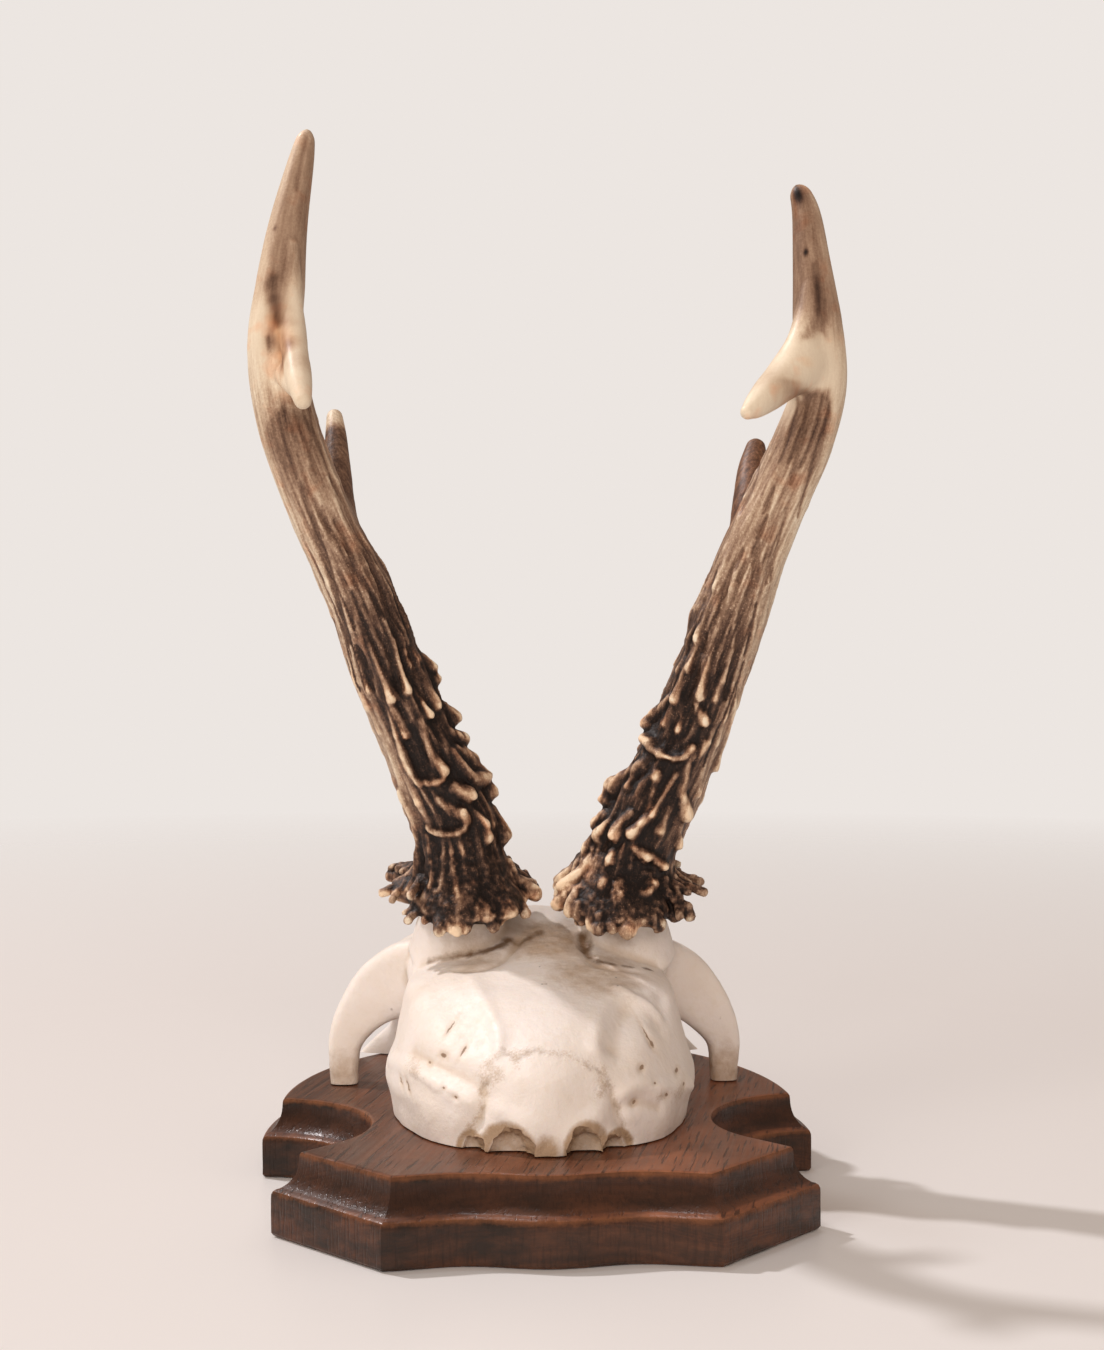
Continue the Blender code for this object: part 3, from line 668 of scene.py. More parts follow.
def scattered(seed, outer, taken):
    """Drips for the rest of a beam: short stout ones low down, long thin ones above them."""
    chance = np.random.RandomState(seed)
    heads = [(rise, math.radians(degrees)) for _, places, _ in taken for rise, degrees in places]
    made = []
    for count, low, high, lengths, widths, heights, tones, clear in DRIP_KINDS:
        placed = 0
        for _ in range(count * 12):
            if placed == count:
                break
            angle = chance.uniform(-math.pi, math.pi)
            rise = low + (high - low) * chance.rand() ** 1.15
            inner = 0.5 - 0.5 * outer * math.sin(angle)
            keep = chance.rand()
            long = chance.uniform(*lengths)
            size = chance.uniform(0, 1)
            lean = chance.uniform(-1, 1)
            tone = chance.uniform(*tones)
            if keep > 0.25 + 0.75 * inner:
                continue
            if any(abs(rise - r) < clear * 1.6 and abs(turn_from(angle, a)) * DRIPPED_RADIUS < clear
                   for r, a in heads):
                continue
            heads.append((rise, angle))
            placed += 1
            fade = (0.55 + 0.45 * inner) * (1.15 - 0.4 * (rise - low) / (high - low))
            width = widths[0] + (widths[1] - widths[0]) * size
            height = (heights[0] + (heights[1] - heights[0]) * size) * fade
            degrees = math.degrees(angle)
            sway = 0.6 * lean * long
            path = [(rise + long, degrees + sway), (rise + long * 0.6, degrees + sway * 0.2),
                    (rise + long * 0.25, degrees - sway * 0.15), (rise, degrees)]
            made.append(((0.5 * width, width, 0.3 * height, height), path, tone * (0.6 + 0.4 * inner)))
    return made


def scattered_grooves(seed, outer):
    """Grooves for the rest of a beam, thin where the measured ones already are."""
    chance = np.random.RandomState(seed)
    made = []
    for _ in range(GROOVE_COUNT):
        degrees = chance.uniform(-180, 180)
        rise = chance.uniform(*GROOVE_RISES)
        long = chance.uniform(*GROOVE_LENGTHS)
        lean = chance.uniform(-0.4, 0.4) * long
        wide = chance.uniform(0.25, 0.85)
        keep = chance.rand()
        if keep < 0.85 * smoothstep(0.3, 0.95, outer * math.sin(math.radians(degrees))):
            continue
        if abs(degrees) < 75:
            wide = 0.22 + 0.2 * wide
        path = [(rise + long, degrees + lean), (rise + long / 2, degrees + 0.4 * lean), (rise, degrees)]
        made.append((wide, path))
    return made


def beam_relief(beam, look, rise, angle):
    """Height of the skin over the plain beam, how pale the drips make it and how dark the grooves do."""
    radius = beam.radius_at(rise)
    smooth_side = np.clip(np.sin(angle) * look.outer, 0, 1)
    rough = 1 - smoothstep(*ROUGHNESS_ENDS, rise)
    rough *= 1 - 0.7 * smooth_side * smoothstep(*SMOOTH_SIDE_STARTS, rise)
    warp = 0.22 * ring_noise(look.seed, 5, 22, angle, rise) + 0.004 * rise
    long_lines = ring_noise(look.seed + 1, 10, 25, angle + warp, rise)
    short_lines = ring_noise(look.seed + 2, 19, 16, angle + warp, rise)
    height = 0.5 * np.exp(-(long_lines / 0.2) ** 2) + 0.42 * np.exp(-(short_lines / 0.22) ** 2) - 0.2
    height = rough * height * smoothstep(*RIDGES_START, rise)
    striae = ring_noise(look.seed + 3, 26, 30, angle + warp, rise)
    height += 0.13 * striae * smoothstep(*STRIAE_START, rise) * (1 - smoothstep(*STRIAE_END, rise))
    height += 0.36 * rough * ring_noise(look.seed + 4, 7, 9, angle, rise)
    lift, pale = raised(look.drips, rise, angle, radius)
    wobble = ring_noise(look.seed + 6, 24, 3.2, angle, rise)
    depth, dark = carved(look.grooves, rise, angle, radius, wobble)
    small_depth, small_dark = carved(look.small_grooves, rise, angle, radius, wobble)
    ramped = 1 - 0.7 * smoothstep(*SMALL_GROOVES_FADE, rise)
    depth = np.maximum(depth, small_depth * ramped)
    dark = np.maximum(dark, small_dark * ramped)
    height += lift - np.maximum(sunk(look.basins, rise, angle, radius), depth)
    return height, pale, dark


def apron_of(rise, angle, look):
    """Extra radius of the collar that carries the burr, domed round its rim, thinner on the outer side."""
    outside = smoothstep(0.25, 0.95, np.sin(angle) * look.outer)
    level = np.zeros_like(rise)
    broad = ring_noise(look.seed + 5, 6, 60, angle, level)
    domes = np.sqrt(np.abs(ring_noise(look.seed + 8, 12, 11, angle, rise)))
    lobes = 0.80 + 0.17 * broad + 0.36 * domes
    return np.interp(rise, *zip(*BURR_APRON)) * lobes * (1 - 0.46 * outside)


def add_beam(clay, beam, look):
    """The beam with its ridges and collar."""
    s = np.append(np.arange(0, beam.length, BEAM_STEP), beam.length)
    theta = np.linspace(-math.pi, math.pi, BEAM_SIDES, endpoint=False)
    centre, radius, axis, side, back = beam.read(s)
    rise, angle = np.meshgrid(s, theta, indexing="ij")
    height = beam_relief(beam, look, rise.ravel(), angle.ravel())[0]
    apron = apron_of(rise, angle, look)
    reach = (radius * tip_share(s, beam.length))[:, None] + apron + height.reshape(rise.shape)
    reach[0] = radius[0] * 0.97
    out = back[:, None] * np.cos(angle)[..., None] + side[:, None] * np.sin(angle)[..., None]
    rings = centre[:, None] + out * reach[..., None] - axis[:, None] * (BURR_DROOP * apron)[..., None]
    clay.add_rings(rings[:, ::-1])


def add_tine(clay, rows):
    """A tine or keel, through rows of place and radius."""
    fine = dense(rows, 60)
    clay.add_tube(fine[:, :3], fine[:, 3], np.array([1.0, 0.2, 0]), sides=28)


def add_pearl(clay, beam, drip, marks):
    """The round end of a tall drip, which stands clear of the beam."""
    (_, width, _, height), places, tone = drip
    if height < PEARL_FROM_HEIGHT:
        return
    last = np.array(places[-1], float)
    before = np.array(places[-2], float)
    size = 0.5 * width
    degree = math.radians(PEARLED_RADIUS)  # length of one degree round the beam
    run = (before - last) * (1, degree)
    run = run / np.linalg.norm(run) * (1, 1 / degree)
    steps = np.linspace(1.6, -0.25, 6)[:, None] * width
    stops = last + run * steps
    span = (-0.25 * width, 1.6 * width)
    lift = np.interp(steps[:, 0], span, (height - size * 0.9, height * 0.35 - size))
    path, out = beam.place(stops[:, 0], stops[:, 1], lift)
    radii = size * np.linspace(0.75, 1.05, 6)
    clay.add_tube(path, radii, out)
    marks.append(np.column_stack([path + out * radii[:, None] * 0.6, radii, tone * np.linspace(0.2, 1, 6)]))


def knob_path(beam, rows):
    """A smooth path through rows of distance above the burr, degrees, extra radius and own radius."""
    fine = dense(rows, 6 * len(rows))
    path, out = beam.place(fine[:, 0], fine[:, 1], fine[:, 2])
    axis = beam.read(fine[:, 0])[2]
    path = path - axis * (BURR_DROOP * fine[:, 2])[:, None]
    return path, fine[:, 3], np.cross(out, axis)


def is_bare(degrees, look):
    """Whether an angle is on the stretch where the burr has no long fingers."""
    first, last, _ = look.bare
    return first < (degrees + 180) % 360 - 180 < last


def add_burr(clay, beam, look, marks):
    """Stubby fingers, some forked, that spread from the collar, and small knobs all over it."""
    chance = np.random.RandomState(look.seed + 9)

    def add(rows, tone):
        """Build one finger or knob, and note how pale its end is."""
        path, radii, across = knob_path(beam, rows)
        clay.add_tube(path, radii, across)
        marks.append(np.column_stack([path, radii, tone * np.linspace(0, 1, len(path)) ** 1.5]))

    for count, top, middle, tip in BURR_TIERS:
        start = chance.uniform(0, 360)
        for k in range(count):
            degrees = start + 360 * (k + chance.uniform(-0.4, 0.4)) / count
            outside = smoothstep(0.3, 0.9, math.sin(math.radians(degrees)) * look.outer)
            size = chance.uniform(0.75, 1.3) * (1 - 0.22 * outside)
            lean = chance.uniform(-12, 12)
            reach = chance.uniform(-1.6, 0.8) + 0.5 * outside
            lift = chance.uniform(-0.7, 1.4) + outside * chance.uniform(-0.5, 4.0)
            thin = 1 - 0.35 * outside
            rows = np.array([
                (top[0] + 2.5 * outside, degrees - lean * 0.3, top[1] * thin - outside, 1.05 * size),
                (middle[0] + lift * 0.6, degrees + lean * 0.4, middle[1] * thin, 1.3 * size),
                (tip[0] + lift, degrees + lean, tip[1] + reach, 1.45 * size)])
            if is_bare(degrees, look):
                rows[:, 0] = np.minimum(rows[:, 0], BARE_LEVELS)
            tone = 0.95 if chance.rand() < 0.2 else 0.3 * chance.rand()
            add(rows, tone)
            if chance.rand() < 0.4:
                split = chance.choice([-1, 1]) * chance.uniform(8, 13)
                end = (rows[2][0] + chance.uniform(-0.8, 1.4), degrees + lean + split,
                       rows[2][2] - chance.uniform(0, 1.8), 1.1 * size)
                add(np.array([rows[1], end]), tone)
    for _ in range(BURR_KNOBS):
        rise = chance.uniform(1.2, 12.5)
        degrees = chance.uniform(0, 360)
        extra = float(apron_of(np.array([rise]), np.radians([degrees]), look)[0])
        size = chance.uniform(0.45, 1.3) * (1.1 - rise / 30)
        spread = chance.uniform(-5, 5)
        rows = np.array([
            (rise + 1.0, degrees, extra - 0.5, size), (rise, degrees + spread / 2, extra - 0.1, size),
            (rise - 0.8, degrees + spread, extra + 0.1, size)])
        tone = 0.9 if chance.rand() < 0.07 else 0.0
        if rise <= look.bare[2] or not is_bare(degrees, look):
            add(rows, tone)


def near_marks(points, marks):
    """How pale each point is for lying on a pearl or finger: one at the middle of a pale end."""
    rows = np.concatenate(marks)
    tree = tree_of(rows[:, :3])
    index, far = zip(*(tree.find(p)[1:] for p in points.tolist()))
    radius, pale = rows[list(index), 3:].T
    return pale * (1 - smoothstep(0.75, 1.35, far / radius))


def patch_tone(patches, s, angle, radius):
    """Strength of round patches, given by rise, angle, size and tone."""
    total = np.zeros(len(s))
    for rise, degrees, size, tone in patches:
        turn = turn_from(angle, math.radians(degrees)) * radius
        far = np.hypot(s - rise, turn) / size
        total = np.maximum(total, tone * np.exp(-far ** 2))
    return total


def web(skin, place, reach, steps):
    """Soften only the skin near a fork, so that the branch grows out of the beam."""
    share = 1 - smoothstep(0.5 * reach, reach, np.linalg.norm(skin.points - place, axis=1))
    for _ in range(steps):
        moved = skin.mean_of_neighbours(skin.points)
        skin.points += (moved - skin.points) * (0.7 * share)[:, None]


def tine_tone(value, points, tine):
    """Shade of a tine with its pale tip and its own tone below, and how sure each point is on it."""
    fine = dense(tine.rows, 40)
    far = from_line(points, fine[:, :3])
    tip = fine[-1, :3]
    away = np.linalg.norm(points - tip, axis=1)
    span = np.linalg.norm(fine[10, :3] - tip)
    width = np.interp(away, (0, span), (2.6, tine.rows[1][3]))
    on_tine = (1 - smoothstep(1.3, 1.75, far / width)) * (1 - smoothstep(0.8, 1.15, away / span))
    if tine.body is not None:
        value = value + (tine.body + 0.35 * (value - 0.3) - value) * on_tine
    cream = 1 - smoothstep(tine.cream, tine.cream + tine.fade, away)
    value = value + (tine.tip_tone - value) * cream * on_tine
    return value, on_tine


def antler(look):
    """One antler: its growth, its shades and what it stands for."""
    drips = measured(look.strokes)
    look.drips = drips + scattered(look.seed + 7, look.outer, drips)
    look.small_grooves = scattered_grooves(look.seed + 8, look.outer)
    tines = (look.rear_tine, look.front_tine)
    beam = Beam(look.beam)
    clay = Clay()
    marks = []
    add_beam(clay, beam, look)
    for rows in (*(tine.rows for tine in tines), *look.keels):
        add_tine(clay, rows)
    for drip in look.drips:
        add_pearl(clay, beam, drip, marks)
    add_burr(clay, beam, look, marks)
    obj = clay.fused(look.name, HORN_VOXEL)
    skin = Skin(obj)
    for tine in tines:
        web(skin, np.array(tine.rows[1][:3]), tine.web_reach, tine.web_steps)
    skin.soften(2)
    s, angle, away = beam.unroll(skin.points)
    normals = skin.normals()
    low = 1 - smoothstep(*LOWER_PART_END, s)
    in_burr = 1 - smoothstep(*BURR_END, s)
    grain = space_noise(skin.points, 1.25, look.seed) + 0.6 * space_noise(skin.points, 0.8, look.seed + 1)
    skin.points += normals * ((BEAM_GRAIN + BURR_GRAIN * in_burr) * low * grain)[:, None]
    value, calm, rust = horn_value(beam, skin, look, marks, s, angle, away, in_burr)
    flow = np.stack([away * np.cos(angle), away * np.sin(angle), s], axis=1) * MM
    skin.store(rust=rust, value=value, calm=calm, flow=flow, rough_part=low)
    skin.finish()
    obj.data.materials.append(horn_material(look.name + "_horn"))
    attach(obj, "root")
    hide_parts(*look.nodes)


def painted_fork_shade(fork_shade, s, angle):
    """Painted shade under a fork, with a clear edge above and none below."""
    top, middle, half, length, strength = fork_shade
    turn = turn_from(angle, math.radians(middle)) / math.radians(half)
    edge = top - 5.0 * turn ** 2
    shade = (1 - smoothstep(edge - 1.3, edge + 0.4, s)) * smoothstep(edge - length, edge - 0.15 * length, s)
    return strength * shade * (1 - smoothstep(0.75, 1.1, np.abs(turn)))


def stained(rows, s, angle):
    """Strength of soft-edged lines of dirt on the upper part of a beam."""
    total = np.zeros(len(s))
    for width, strength, places in rows:
        near, far, _, _ = beside(places, 2.2 * width, s, angle, np.full(len(s), TOP_RADIUS))
        if len(near):
            total[near] = np.maximum(total[near], strength * np.exp(-(far / width) ** 2))
    return total


def horn_value(beam, skin, look, marks, s, angle, away, in_burr):
    """How pale each point is, from near black at zero to cream at one, how calm and how rusty."""
    points = skin.points
    normals = skin.normals()
    fine_relief = skin.relief(8, normals)
    broad_relief = skin.relief(80, normals)
    _, pale, dark = beam_relief(beam, look, s, angle)
    ends = near_marks(points, marks)
    smooth_side = np.clip(np.sin(angle) * look.outer, 0, 1)
    broad = ring_noise(look.seed + 20, 6, 26, angle, s)
    high = smoothstep(*look.paling, s)
    top = smoothstep(*TOP_START, s)
    base = 0.13 + 0.47 * high - (look.top - 0.03) * top + 0.08 * broad
    base += (0.44 - 0.24 * high) * smoothstep(0.12, 0.85, smooth_side) * smoothstep(*PALE_SIDE_STARTS, s)
    crest = np.clip(fine_relief / 0.14, -1, 1.3) * (0.25 - 0.09 * high)
    hollow = np.clip(-broad_relief / 0.5, 0, 1) * (0.16 - 0.10 * top)
    ridge = np.clip(broad_relief / 0.8, 0, 1) * (0.16 - 0.12 * high)
    value = base + crest + ridge - hollow
    value += (0.09 + 0.35 * high + 0.06 * broad - value) * 0.85 * dark
    fork = np.linalg.norm(points - np.array(look.rear_tine.rows[1][:3]), axis=1)
    fork_shade = painted_fork_shade(look.fork_shade, s, angle)
    fork = (1 - smoothstep(6.0, 16.0, fork)) * (1 - 0.8 * dark) * (1 - np.clip(6 * fork_shade, 0, 0.9))
    value += (FORK_TONE - value) * 0.92 * fork
    for rows in look.keels[1:]:
        heel = from_line(points, dense(rows, 40)[:, :3])
        on_heel = (1 - smoothstep(*HEEL_WIDTH, heel)) * smoothstep(*HEEL_START_Z, points[:, 2])
        value += (HEEL_TONE - value) * on_heel
    value, on_rear = tine_tone(value, points, look.rear_tine)
    value, on_front = tine_tone(value, points, look.front_tine)
    # Painted shade under the forks, kept off the rear tine
    value -= fork_shade * (1 - on_rear)
    pale = pale * np.clip(0.9 + 0.5 * space_noise(points, 2.2, look.seed + 42), 0.45, 1.25)
    blotch = space_noise(points, 3.6, look.seed + 40) + 0.5 * space_noise(points, 1.7, look.seed + 41)
    patches = patch_tone(look.patches, s, angle, BURR_RADIUS)
    burr_value = 0.09 + 0.40 * np.clip(fine_relief / 0.2, -0.3, 1.2) + 0.42 * smoothstep(0.35, 1.0, blotch)
    burr_value += patches * (0.9 + 0.35 * blotch)
    burr_value -= 0.35 * np.clip(-broad_relief / 0.5, 0, 1)
    value = value * (1 - in_burr) + burr_value * in_burr
    value += 0.55 * pale * (1 - 0.5 * high) * np.clip(0.55 + fine_relief / 0.2, 0.3, 1.15)
    value = np.maximum(value, PEARL_TONE * ends * np.clip(0.6 + fine_relief / 0.2, 0, 1))
    value -= patch_tone(look.spots, s, angle, TOP_RADIUS)
    on_beam = 1 - smoothstep(4.5, 8.0, away - beam.radius_at(s))
    value -= stained(look.stains, s, angle) * np.clip(0.75 + 0.7 * blotch, 0.25, 1.2) * on_beam
    edges = np.clip(pale, 0, 1)
    rust = np.maximum(1.5 * edges * (1 - edges) * (1 - high), stained(look.rust, s, angle) * on_beam)
    rust = np.maximum(rust, 0.5 * in_burr * patches)
    rust = np.maximum(rust, look.front_tine.rust * on_front)
    return value, np.maximum(np.maximum(fork, on_rear), 0.6 * top), rust


# ---- shader nodes ----

class Wire:
    """One output of a shader node. Arithmetic on it adds the math nodes."""

    def __init__(self, nodes, socket):
        self.nodes = nodes
        self.socket = socket

    def other(self, name):
        """Another output of the same node."""
        return Wire(self.nodes, self.socket.node.outputs[name])

    def __add__(self, b):
        return self.nodes.maths("ADD", self, b)

    def __sub__(self, b):
        return self.nodes.maths("SUBTRACT", self, b)

    def __rsub__(self, a):
        return self.nodes.maths("SUBTRACT", a, self)

    def __mul__(self, b):
        return self.nodes.maths("MULTIPLY", self, b)

    def between(self, low, high, to_low=0.0, to_high=1.0):
        """The value mapped from the first range to the second, and held at its ends."""
        inputs = {"Value": self, "From Min": low, "From Max": high, "To Min": to_low, "To Max": to_high}
        return self.nodes.add("ShaderNodeMapRange", inputs, clamp=True)

    def stretched(self, scale, turn=(0, 0, 0)):
        """This place scaled along each axis, after a turn."""
        return self.nodes.add("ShaderNodeMapping", {"Vector": self, "Scale": scale, "Rotation": turn})

    def noise(self, scale, detail, rough=0.55):
        """Noise of about zero to one at this place."""
        return self.nodes.add("ShaderNodeTexNoise", {
            "Vector": self, "Scale": scale, "Detail": detail, "Roughness": rough})

    def toward(self, colour, share):
        """This colour mixed with a share of another."""
        return self.nodes.mixed(share, self, colour)

    def tinted(self, tint, share):
        """This colour multiplied by a share of a tint."""
        return self.nodes.mixed(share, self, tint, "MULTIPLY")


class Nodes:
    """Short ways to add nodes to a tree."""

    def __init__(self, tree):
        self.tree = tree

    def feed(self, made, inputs):
        """Link or set inputs of a node."""
        for key, value in inputs.items():
            if isinstance(value, Wire):
                self.tree.links.new(value.socket, made.inputs[key])
            else:
                made.inputs[key].default_value = value

    def add(self, kind, inputs=None, out=0, **settings):
        """A new node, given as one of its outputs."""
        made = self.tree.nodes.new(kind)
        for name, value in settings.items():
            setattr(made, name, value)
        self.feed(made, inputs or {})
        return Wire(self, made.outputs[out])

    def change(self, name, inputs):
        """Set inputs of a node that the tree already has. Returns its first output, if any."""
        made = self.tree.nodes[name]
        self.feed(made, inputs)
        return Wire(self, made.outputs[0]) if made.outputs else None

    def maths(self, operation, a, b=0.0):
        """The result of a math node."""
        return self.add("ShaderNodeMath", {0: a, 1: b}, operation=operation)

    def vectors(self, operation, inputs, out=0):
        """The result of a node that works on vectors."""
        return self.add("ShaderNodeVectorMath", inputs, out, operation=operation)

    def place(self):
        """The place of each point of the surface, in metres."""
        return self.add("ShaderNodeTexCoord", out="Object")

    def parts(self, vector):
        """X, Y and Z of a vector."""
        x = self.add("ShaderNodeSeparateXYZ", {0: vector})
        return x, x.other("Y"), x.other("Z")

    def attribute(self, name, out="Fac"):
        """Values that are kept on the points of the mesh."""
        return self.add("ShaderNodeAttribute", out=out, attribute_name=name)

    def mixed(self, share, a, b, blend="MIX"):
        """The first colour with a share of the second."""
        a, b = (colour if isinstance(colour, Wire) else (*colour, 1.0) for colour in (a, b))
        return self.add("ShaderNodeMix", {0: share, 6: a, 7: b}, 2, data_type="RGBA", blend_type=blend)

    def ramp(self, value, stops):
        """A value turned into a colour between stops."""
        made = self.add("ShaderNodeValToRGB", {"Fac": value})
        band = made.socket.node.color_ramp
        for element, (place, colour) in zip(band.elements, (stops[0], stops[-1])):
            element.position = place
            element.color = (*colour, 1)
        for place, colour in stops[1:-1]:
            band.elements.new(place).color = (*colour, 1)
        return made

    def bump(self, height, strength, distance, **more):
        """Normals as if the surface had this height."""
        inputs = {"Strength": strength, "Distance": distance, "Height": height, **more}
        return self.add("ShaderNodeBump", inputs)


def new_material(name):
    """A material, and the ways to add nodes to it."""
    made = bpy.data.materials.new(name)
    made.use_nodes = True
    return made, Nodes(made.node_tree)


# Colours of antler, from its dark hollows to its worn tips
HORN_STOPS = [
    (0.00, (0.009, 0.0055, 0.0045)), (0.16, (0.036, 0.020, 0.014)), (0.32, (0.112, 0.061, 0.040)),
    (0.48, (0.245, 0.148, 0.095)), (0.64, (0.430, 0.292, 0.198)), (0.80, (0.650, 0.505, 0.360)),
    (1.00, (0.900, 0.790, 0.610)),
]


def horn_material(name):
    """Antler, shaded by values on its points and streaked along its growth."""
    made, nodes = new_material(name)
    place = nodes.place()
    flow = nodes.attribute("flow", "Vector")
    value = nodes.attribute("value")
    rough_part = nodes.attribute("rough_part")
    streaks = flow.stretched((1.0, 1.0, 0.10)).noise(1500.0, 3.0, 0.6)
    wide = flow.stretched((1.0, 1.0, 0.16)).noise(430.0, 3.0, 0.6)
    grain = place.noise(1900.0, 3.0, 0.65)
    lively = nodes.attribute("calm").between(0.0, 1.0, 1.0, 0.18)
    lines = (streaks * 0.48 + wide * 0.46 + grain * 0.40 - 0.67) * lively
    specks = place.noise(3100.0, 1.0).between(0.62, 0.72, 0.0, 0.22)
    colour = nodes.ramp(value + lines + specks * rough_part, HORN_STOPS)
    russet = place.noise(190.0, 2.0).between(0.55, 0.72) * value.between(0.1, 0.4)
    colour = colour.tinted((1.0, 0.62, 0.44), russet * 0.45)
    colour = colour.tinted((1.0, 0.67, 0.42), nodes.attribute("rust"))
    pit_shade = place.noise(1500.0, 3.0, 0.7)
    nodes.change("Principled BSDF", {
        "Base Color": colour,
        "Roughness": value.between(0.1, 0.9, 0.50, 0.45) + (grain - 0.5) * 0.3,
        "Specular IOR Level": 0.34,
        "Normal": nodes.bump(streaks * 0.5 * lively + pit_shade * rough_part, 0.8, 0.00028),
    })
    return made


# ---- skull cap ----
PLAQUE_HEIGHT = 16.5
SEAT_Z = PLAQUE_HEIGHT + SEAT_GAP
BONE_VOXEL = 0.53
BONE_SOFTENING = 24
BONE_EDGE_DEG = 50
# Height, half width, rearmost and foremost Y of the braincase
BRAINCASE_LEVELS = [
    (12, 30.6, -49.6, 40), (20, 31.9, -48.6, 40), (25, 33, -47, 38), (31, 31.2, -44.4, 35),
    (37, 29.8, -38.8, 32), (42, 28.2, -29.6, 30), (45.5, 24.6, -17.5, 28), (47.8, 19, -7, 26),
    (49.4, 11, 2, 22),
]
BRAINCASE_WALL = 3.4
CAVITY_FRONT_Y = 20.0
# Upright sections of the forehead and muzzle: Y, then X and Z of the right half from the top down
FOREHEAD_SECTIONS = [
    (-6, [(0, 48.2), (8, 47.6), (14, 46), (18, 42), (19, 34), (18, 26), (17, 20), (16, 12)]),
    (6, [(0, 51.8), (10, 51), (20, 48.8), (26, 45), (27, 38), (24, 30), (22, 22), (21, 12)]),
    (18, [(0, 56), (11, 55), (22, 52), (29, 47.5), (29, 40), (23, 33), (20, 24), (19, 12)]),
    (26, [(0, 56), (11, 55), (23, 52), (33, 46.5), (34, 42), (24, 38), (18, 28), (16, 12)]),
    (35, [(0, 53), (11, 52), (24, 48.5), (34.5, 42), (34, 38.5), (23, 36), (16, 28), (14, 12)]),
    (43, [(0, 48), (11, 47), (23, 43.5), (33, 37), (32.5, 33.5), (23, 32), (16, 25), (14, 12)]),
    (49, [(0, 44), (11, 43), (22, 38.5), (32, 31.5), (31.5, 28.5), (24, 27), (17, 22), (15, 12)]),
    (53, [(0, 41), (11, 40), (22, 35), (32.5, 27), (34, 22.5), (33, 18), (31, 15), (30, 12)]),
    (56.5, [(0, 38), (11, 36.5), (22, 31.5), (31, 25.5), (36, 21.8), (40, 18.2), (43, 15), (42, 12)]),
    (61, [(0, 35), (9, 34), (17, 30), (25, 25), (29, 21.5), (32, 18), (33.5, 15), (33, 12)]),
    (67, [(0, 30), (7, 29), (13, 26.5), (18, 23), (21, 20), (23, 18), (24, 15), (24, 12)]),
    (73, [(0, 24.5), (5, 24), (9, 22.5), (12, 20.5), (14, 19), (15.5, 17), (16, 15), (16, 12)]),
    (77, [(0, 20), (3, 20), (5, 19), (7, 18), (9, 17), (10, 16), (11, 14), (11, 12)]),
]
# Bar behind the right orbit, from the forehead to its foot: X, Y, Z, half width, half thickness
ORBIT_BAR = [
    (20, 16, 43, 7.5, 6), (28, 19.5, 41, 8.6, 5), (34.5, 21.5, 37.5, 7.6, 4.2),
    (39.5, 22, 32.5, 5.8, 3.8), (42.9, 22, 26.5, 4.1, 3.6), (43.3, 21.5, 20.5, 3.3, 3.4),
    (43, 21.5, 13, 2.9, 3.4),
]
BAR_SQUARENESS = 3.2
PEDICLE_RADIUS = 8.7
# Distance below the burr's plane and extra radius of a pedicle, from its foot up
PEDICLE_FLARE = [(12.0, 3.0), (5.0, 0.8), (2.5, 0.0), (-0.4, 0.0)]
# Hollows in the lower edge at the back: X, Y of the skin there, half width and height at the rim
OCCIPITAL_HOLLOWS = [
    (-7.9, -47.7, 5.2, 5.5), (-14.9, -44.2, 2.7, 3.3), (7.4, -47.9, 4.3, 5.6), (13.5, -44.9, 3, 3.4),
]
# How far in from the skin, and the size there as a share of the rim
HOLLOW_PROFILE = [(-6, 1), (-0.7, 1), (0.5, 0.86), (1.1, 0.72), (2.2, 0.68), (2.8, 0.40)]
HOLLOWS_BEHIND_Y = -38
BACK_STARTS_Y = (-16, -26)
# Seen from behind, as X and Z: the seam across the back and its branches, then the places where
# it is rough, with their size
SEAM = [
    (-8.9, 35.7), (-7.1, 33.9), (-4.4, 35), (-1.6, 35.7), (0.7, 35.2), (3.3, 34.9), (5.3, 34.2),
    (7.2, 33.1), (9.2, 32.1), (11.2, 31.4), (11.5, 28.1),
]
SEAM_LEFT = [(-8.9, 35.7), (-11.2, 32.2), (-12.4, 28.6), (-13.2, 24), (-16.7, 18.2)]
SEAM_RIGHT = [(11.2, 31.4), (13.6, 24.9), (14.8, 20.9), (16.5, 17.5)]
ROUGH_SPOTS = [
    (-11.2, 32.6, 1.6), (-9.9, 31, 1.3), (-12, 29.9, 1.7), (-12.6, 27.7, 1.2), (-6.3, 34.1, 1.5),
    (-3.9, 35.2, 1.1), (10.6, 30.9, 1.5), (11.2, 28.9, 1.5), (10.2, 27.4, 1), (7.6, 32.8, 1),
    (-15.2, 20.8, 1.3), (-13.6, 22.9, 1), (-12.8, 24.8, 0.9), (27.5, 24.6, 1.8), (23, 25.2, 1.2),
    (-26.5, 29.6, 1.6),
]
